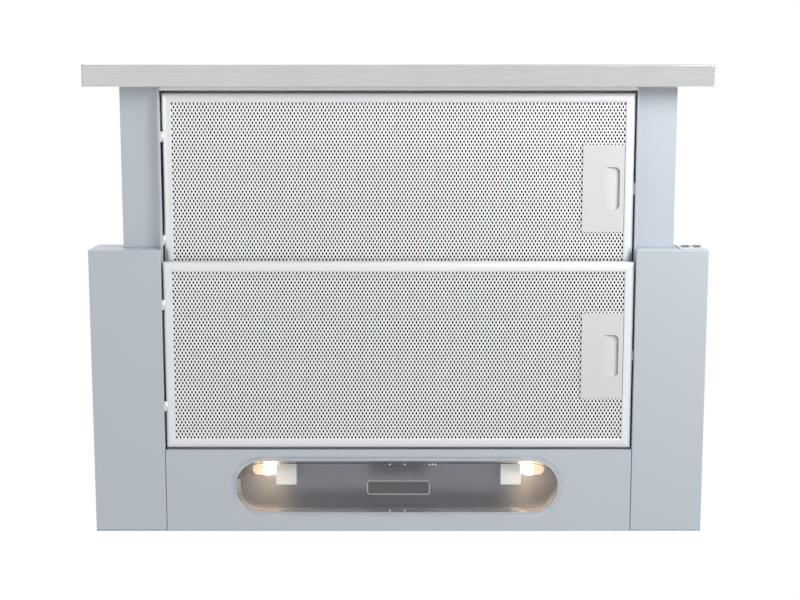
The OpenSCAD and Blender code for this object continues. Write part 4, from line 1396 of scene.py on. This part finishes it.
class HOOD_OT_controls(bpy.types.Operator):
    """Add the raised marks beside the sliders and the border of the blank plate"""

    bl_idname = "hood.controls"
    bl_label = "Control marks"

    def execute(self, context):
        low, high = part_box("control_fascia")
        marks = []
        root, side, top = MARK_HEIGHTS
        for step, size in enumerate(MARK["radii"]):
            height = low.z + MARK["first"] + MARK["step"] * step
            spot = (low.x + (high.x - low.x) * 0.5, low.y, height)
            crown = size * MARK["crown"]
            profile = ((root, 0.0), (root, size), (side, size), (top, crown), (top, 0.0))
            marks.append(lathe(profile, 16, spot, (0, -1, 0)))
        piece = add_piece("speed_marks", merged(marks, "speed_marks"))
        settle(piece, "control_fascia", "knob_plastic")

        low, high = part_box("lens_label")
        wide, deep = high.x - low.x, high.y - low.y
        outer = rounded_outline(wide, deep, BORDER["corner"])
        inset = BORDER["inset"]
        inner = rounded_outline(wide - inset, deep - inset, BORDER["inner_corner"])
        ring = slab_mesh(outer, low.z - BORDER["half"], low.z + BORDER["half"], inner)
        middle = (low + high) / 2
        piece = add_piece("label_border", shifted(ring, middle.x, middle.y, 0))
        settle(piece, "lens_label", "cap_plastic")
        self.gate_pips()
        self.catch_ribs()
        return {"FINISHED"}

    @staticmethod
    def gate_pips():
        """Small moulding pips on the lamp cover's face, along both long sides of its window, made
        near-white as painted highlights of the clear pips.
        """
        low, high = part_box("lens")
        middle = (low.y + high.y) / 2
        reach = (high.y - low.y) / 2 - PIP["inset"]
        pips = []
        for way, spots in ((-1, PIP["front"]), (1, PIP["back"])):
            for x, wide in spots:
                outline = rounded_outline(wide, PIP["length"], PIP["corner"], 3)
                pip = slab_mesh(outline, -PIP["half"], PIP["half"])
                pips.append(shifted(pip, x, middle + way * reach, low.z))
        piece = add_piece("cover_pips", merged(pips, "pips"))
        settle(piece, "lens", "cap_plastic", "pip_painted_highlight")

    @staticmethod
    def catch_ribs():
        """Three fine ribs across the face of the cover's catch."""
        low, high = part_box("lens_catch")
        middle = (low + high) / 2
        outline = rounded_outline((high.x - low.x) * RIB["share"], RIB["width"], RIB["corner"], 2)
        ribs = [
            shifted(slab_mesh(outline, RIB["low"], RIB["high"]), middle.x, middle.y + step, low.z)
            for step in (-RIB["step"], 0, RIB["step"])
        ]
        piece = add_piece("catch_ribs", merged(ribs, "ribs"))
        settle(piece, "lens_catch", "zinc_steel")


class HOOD_OT_stage(bpy.types.Operator):
    """Set the camera, the lamps, the world and the floor"""

    bl_idname = "hood.stage"
    bl_label = "Studio"

    def execute(self, context):
        self.camera(context.scene)
        self.world(context.scene)
        self.floor()
        target = Vector(LAMP_TARGET)
        for name, spot, size, power in LAMPS:
            light = bpy.data.lights.new(name, "AREA")
            light.shape = "DISK"
            light.size = size
            light.energy = power
            lamp = bpy.data.objects.new(name, light)
            lamp.location = spot
            lamp.rotation_euler = (target - Vector(spot)).to_track_quat("-Z", "Y").to_euler()
            lamp.visible_camera = False
            context.scene.collection.objects.link(lamp)
        context.scene.view_settings.view_transform = "Standard"
        return {"FINISHED"}

    @staticmethod
    def camera(scene):
        """Below the hood, under its front strip, tilted a little towards the wall."""
        data = bpy.data.cameras.new("camera")
        data.sensor_width = 36.0
        data.lens = CAMERA["lens"]
        data.clip_end = 100.0
        camera = bpy.data.objects.new("camera", data)
        tilt = CAMERA["tilt"]
        right = Vector((1, 0, 0))
        look = Vector((0, math.sin(tilt), math.cos(tilt)))
        up = look.cross(right) * -1
        turn = Matrix((right, up, -look)).transposed()
        camera.matrix_world = Matrix.Translation(CAMERA["spot"]) @ turn.to_4x4()
        scene.collection.objects.link(camera)
        scene.camera = camera

    @staticmethod
    def plain_rays(tree):
        """1 for camera, glossy and transmission rays, 0 for the others."""
        path = tree.nodes.new("ShaderNodeLightPath")
        seen = math_node(
            tree, "MAXIMUM", path.outputs["Is Camera Ray"], path.outputs["Is Glossy Ray"]
        )
        return math_node(tree, "MAXIMUM", seen, path.outputs["Is Transmission Ray"])

    def world(self, scene):
        world = bpy.data.worlds.new("studio")
        world.use_nodes = True
        tree = world.node_tree
        sky = tree.nodes["Background"]
        sky.inputs["Color"].default_value = (1, 1, 1, 1)
        gain = math_node(tree, "MULTIPLY", self.plain_rays(tree), SKY["seen"])
        tree.links.new(math_node(tree, "ADD", gain, SKY["light"]), sky.inputs["Strength"])
        scene.world = world

    def floor(self):
        outline = rounded_outline(FLOOR["size"], FLOOR["size"], FLOOR["corner"])
        mesh = slab_mesh(outline, FLOOR["low"], FLOOR["high"])
        floor = add_piece("floor", mesh)
        material = bpy.data.materials.new("Pale Floor")
        material.use_nodes = True
        tree = material.node_tree
        shader = tree.nodes["Principled BSDF"]
        shader.inputs["Base Color"].default_value = (0.8, 0.8, 0.8, 1)
        shader.inputs["Roughness"].default_value = 0.9
        glow = tree.nodes.new("ShaderNodeEmission")
        share_seen = math_node(tree, "MULTIPLY", self.plain_rays(tree), FLOOR["glow"])
        blend_in(tree, share_seen, glow.outputs["Emission"])
        floor.data.materials.append(material)


class HOOD_PT_panel(bpy.types.Panel):
    """Steps that dress the hood"""

    bl_idname = "HOOD_PT_panel"
    bl_label = "Pull-out Range Hood"
    bl_space_type = "VIEW_3D"
    bl_region_type = "UI"
    bl_category = "Hood"

    def draw(self, context):
        for group in (context.scene.hood_sizes, context.scene.hood_colours):
            column = self.layout.column(align=True)
            for key in group.__annotations__:
                column.prop(group, key)
        for step in STEPS:
            self.layout.operator(step.bl_idname)


STEPS = (
    HOOD_OT_finishes,
    HOOD_OT_sheet_metal,
    HOOD_OT_frames,
    HOOD_OT_meshes,
    HOOD_OT_handles,
    HOOD_OT_bulbs,
    HOOD_OT_screws,
    HOOD_OT_controls,
    HOOD_OT_stage,
)
CLASSES = (HoodSizes, HoodColours, *STEPS, HOOD_PT_panel)


def register():
    for item in CLASSES:
        bpy.utils.register_class(item)
    bpy.types.Scene.hood_sizes = bpy.props.PointerProperty(type=HoodSizes)
    bpy.types.Scene.hood_colours = bpy.props.PointerProperty(type=HoodColours)


def unregister():
    del bpy.types.Scene.hood_colours
    del bpy.types.Scene.hood_sizes
    for item in reversed(CLASSES):
        bpy.utils.unregister_class(item)


def main():
    register()
    for step in STEPS:
        group, name = step.bl_idname.split(".")
        getattr(getattr(bpy.ops, group), name)()


if __name__ == "__main__":
    main()
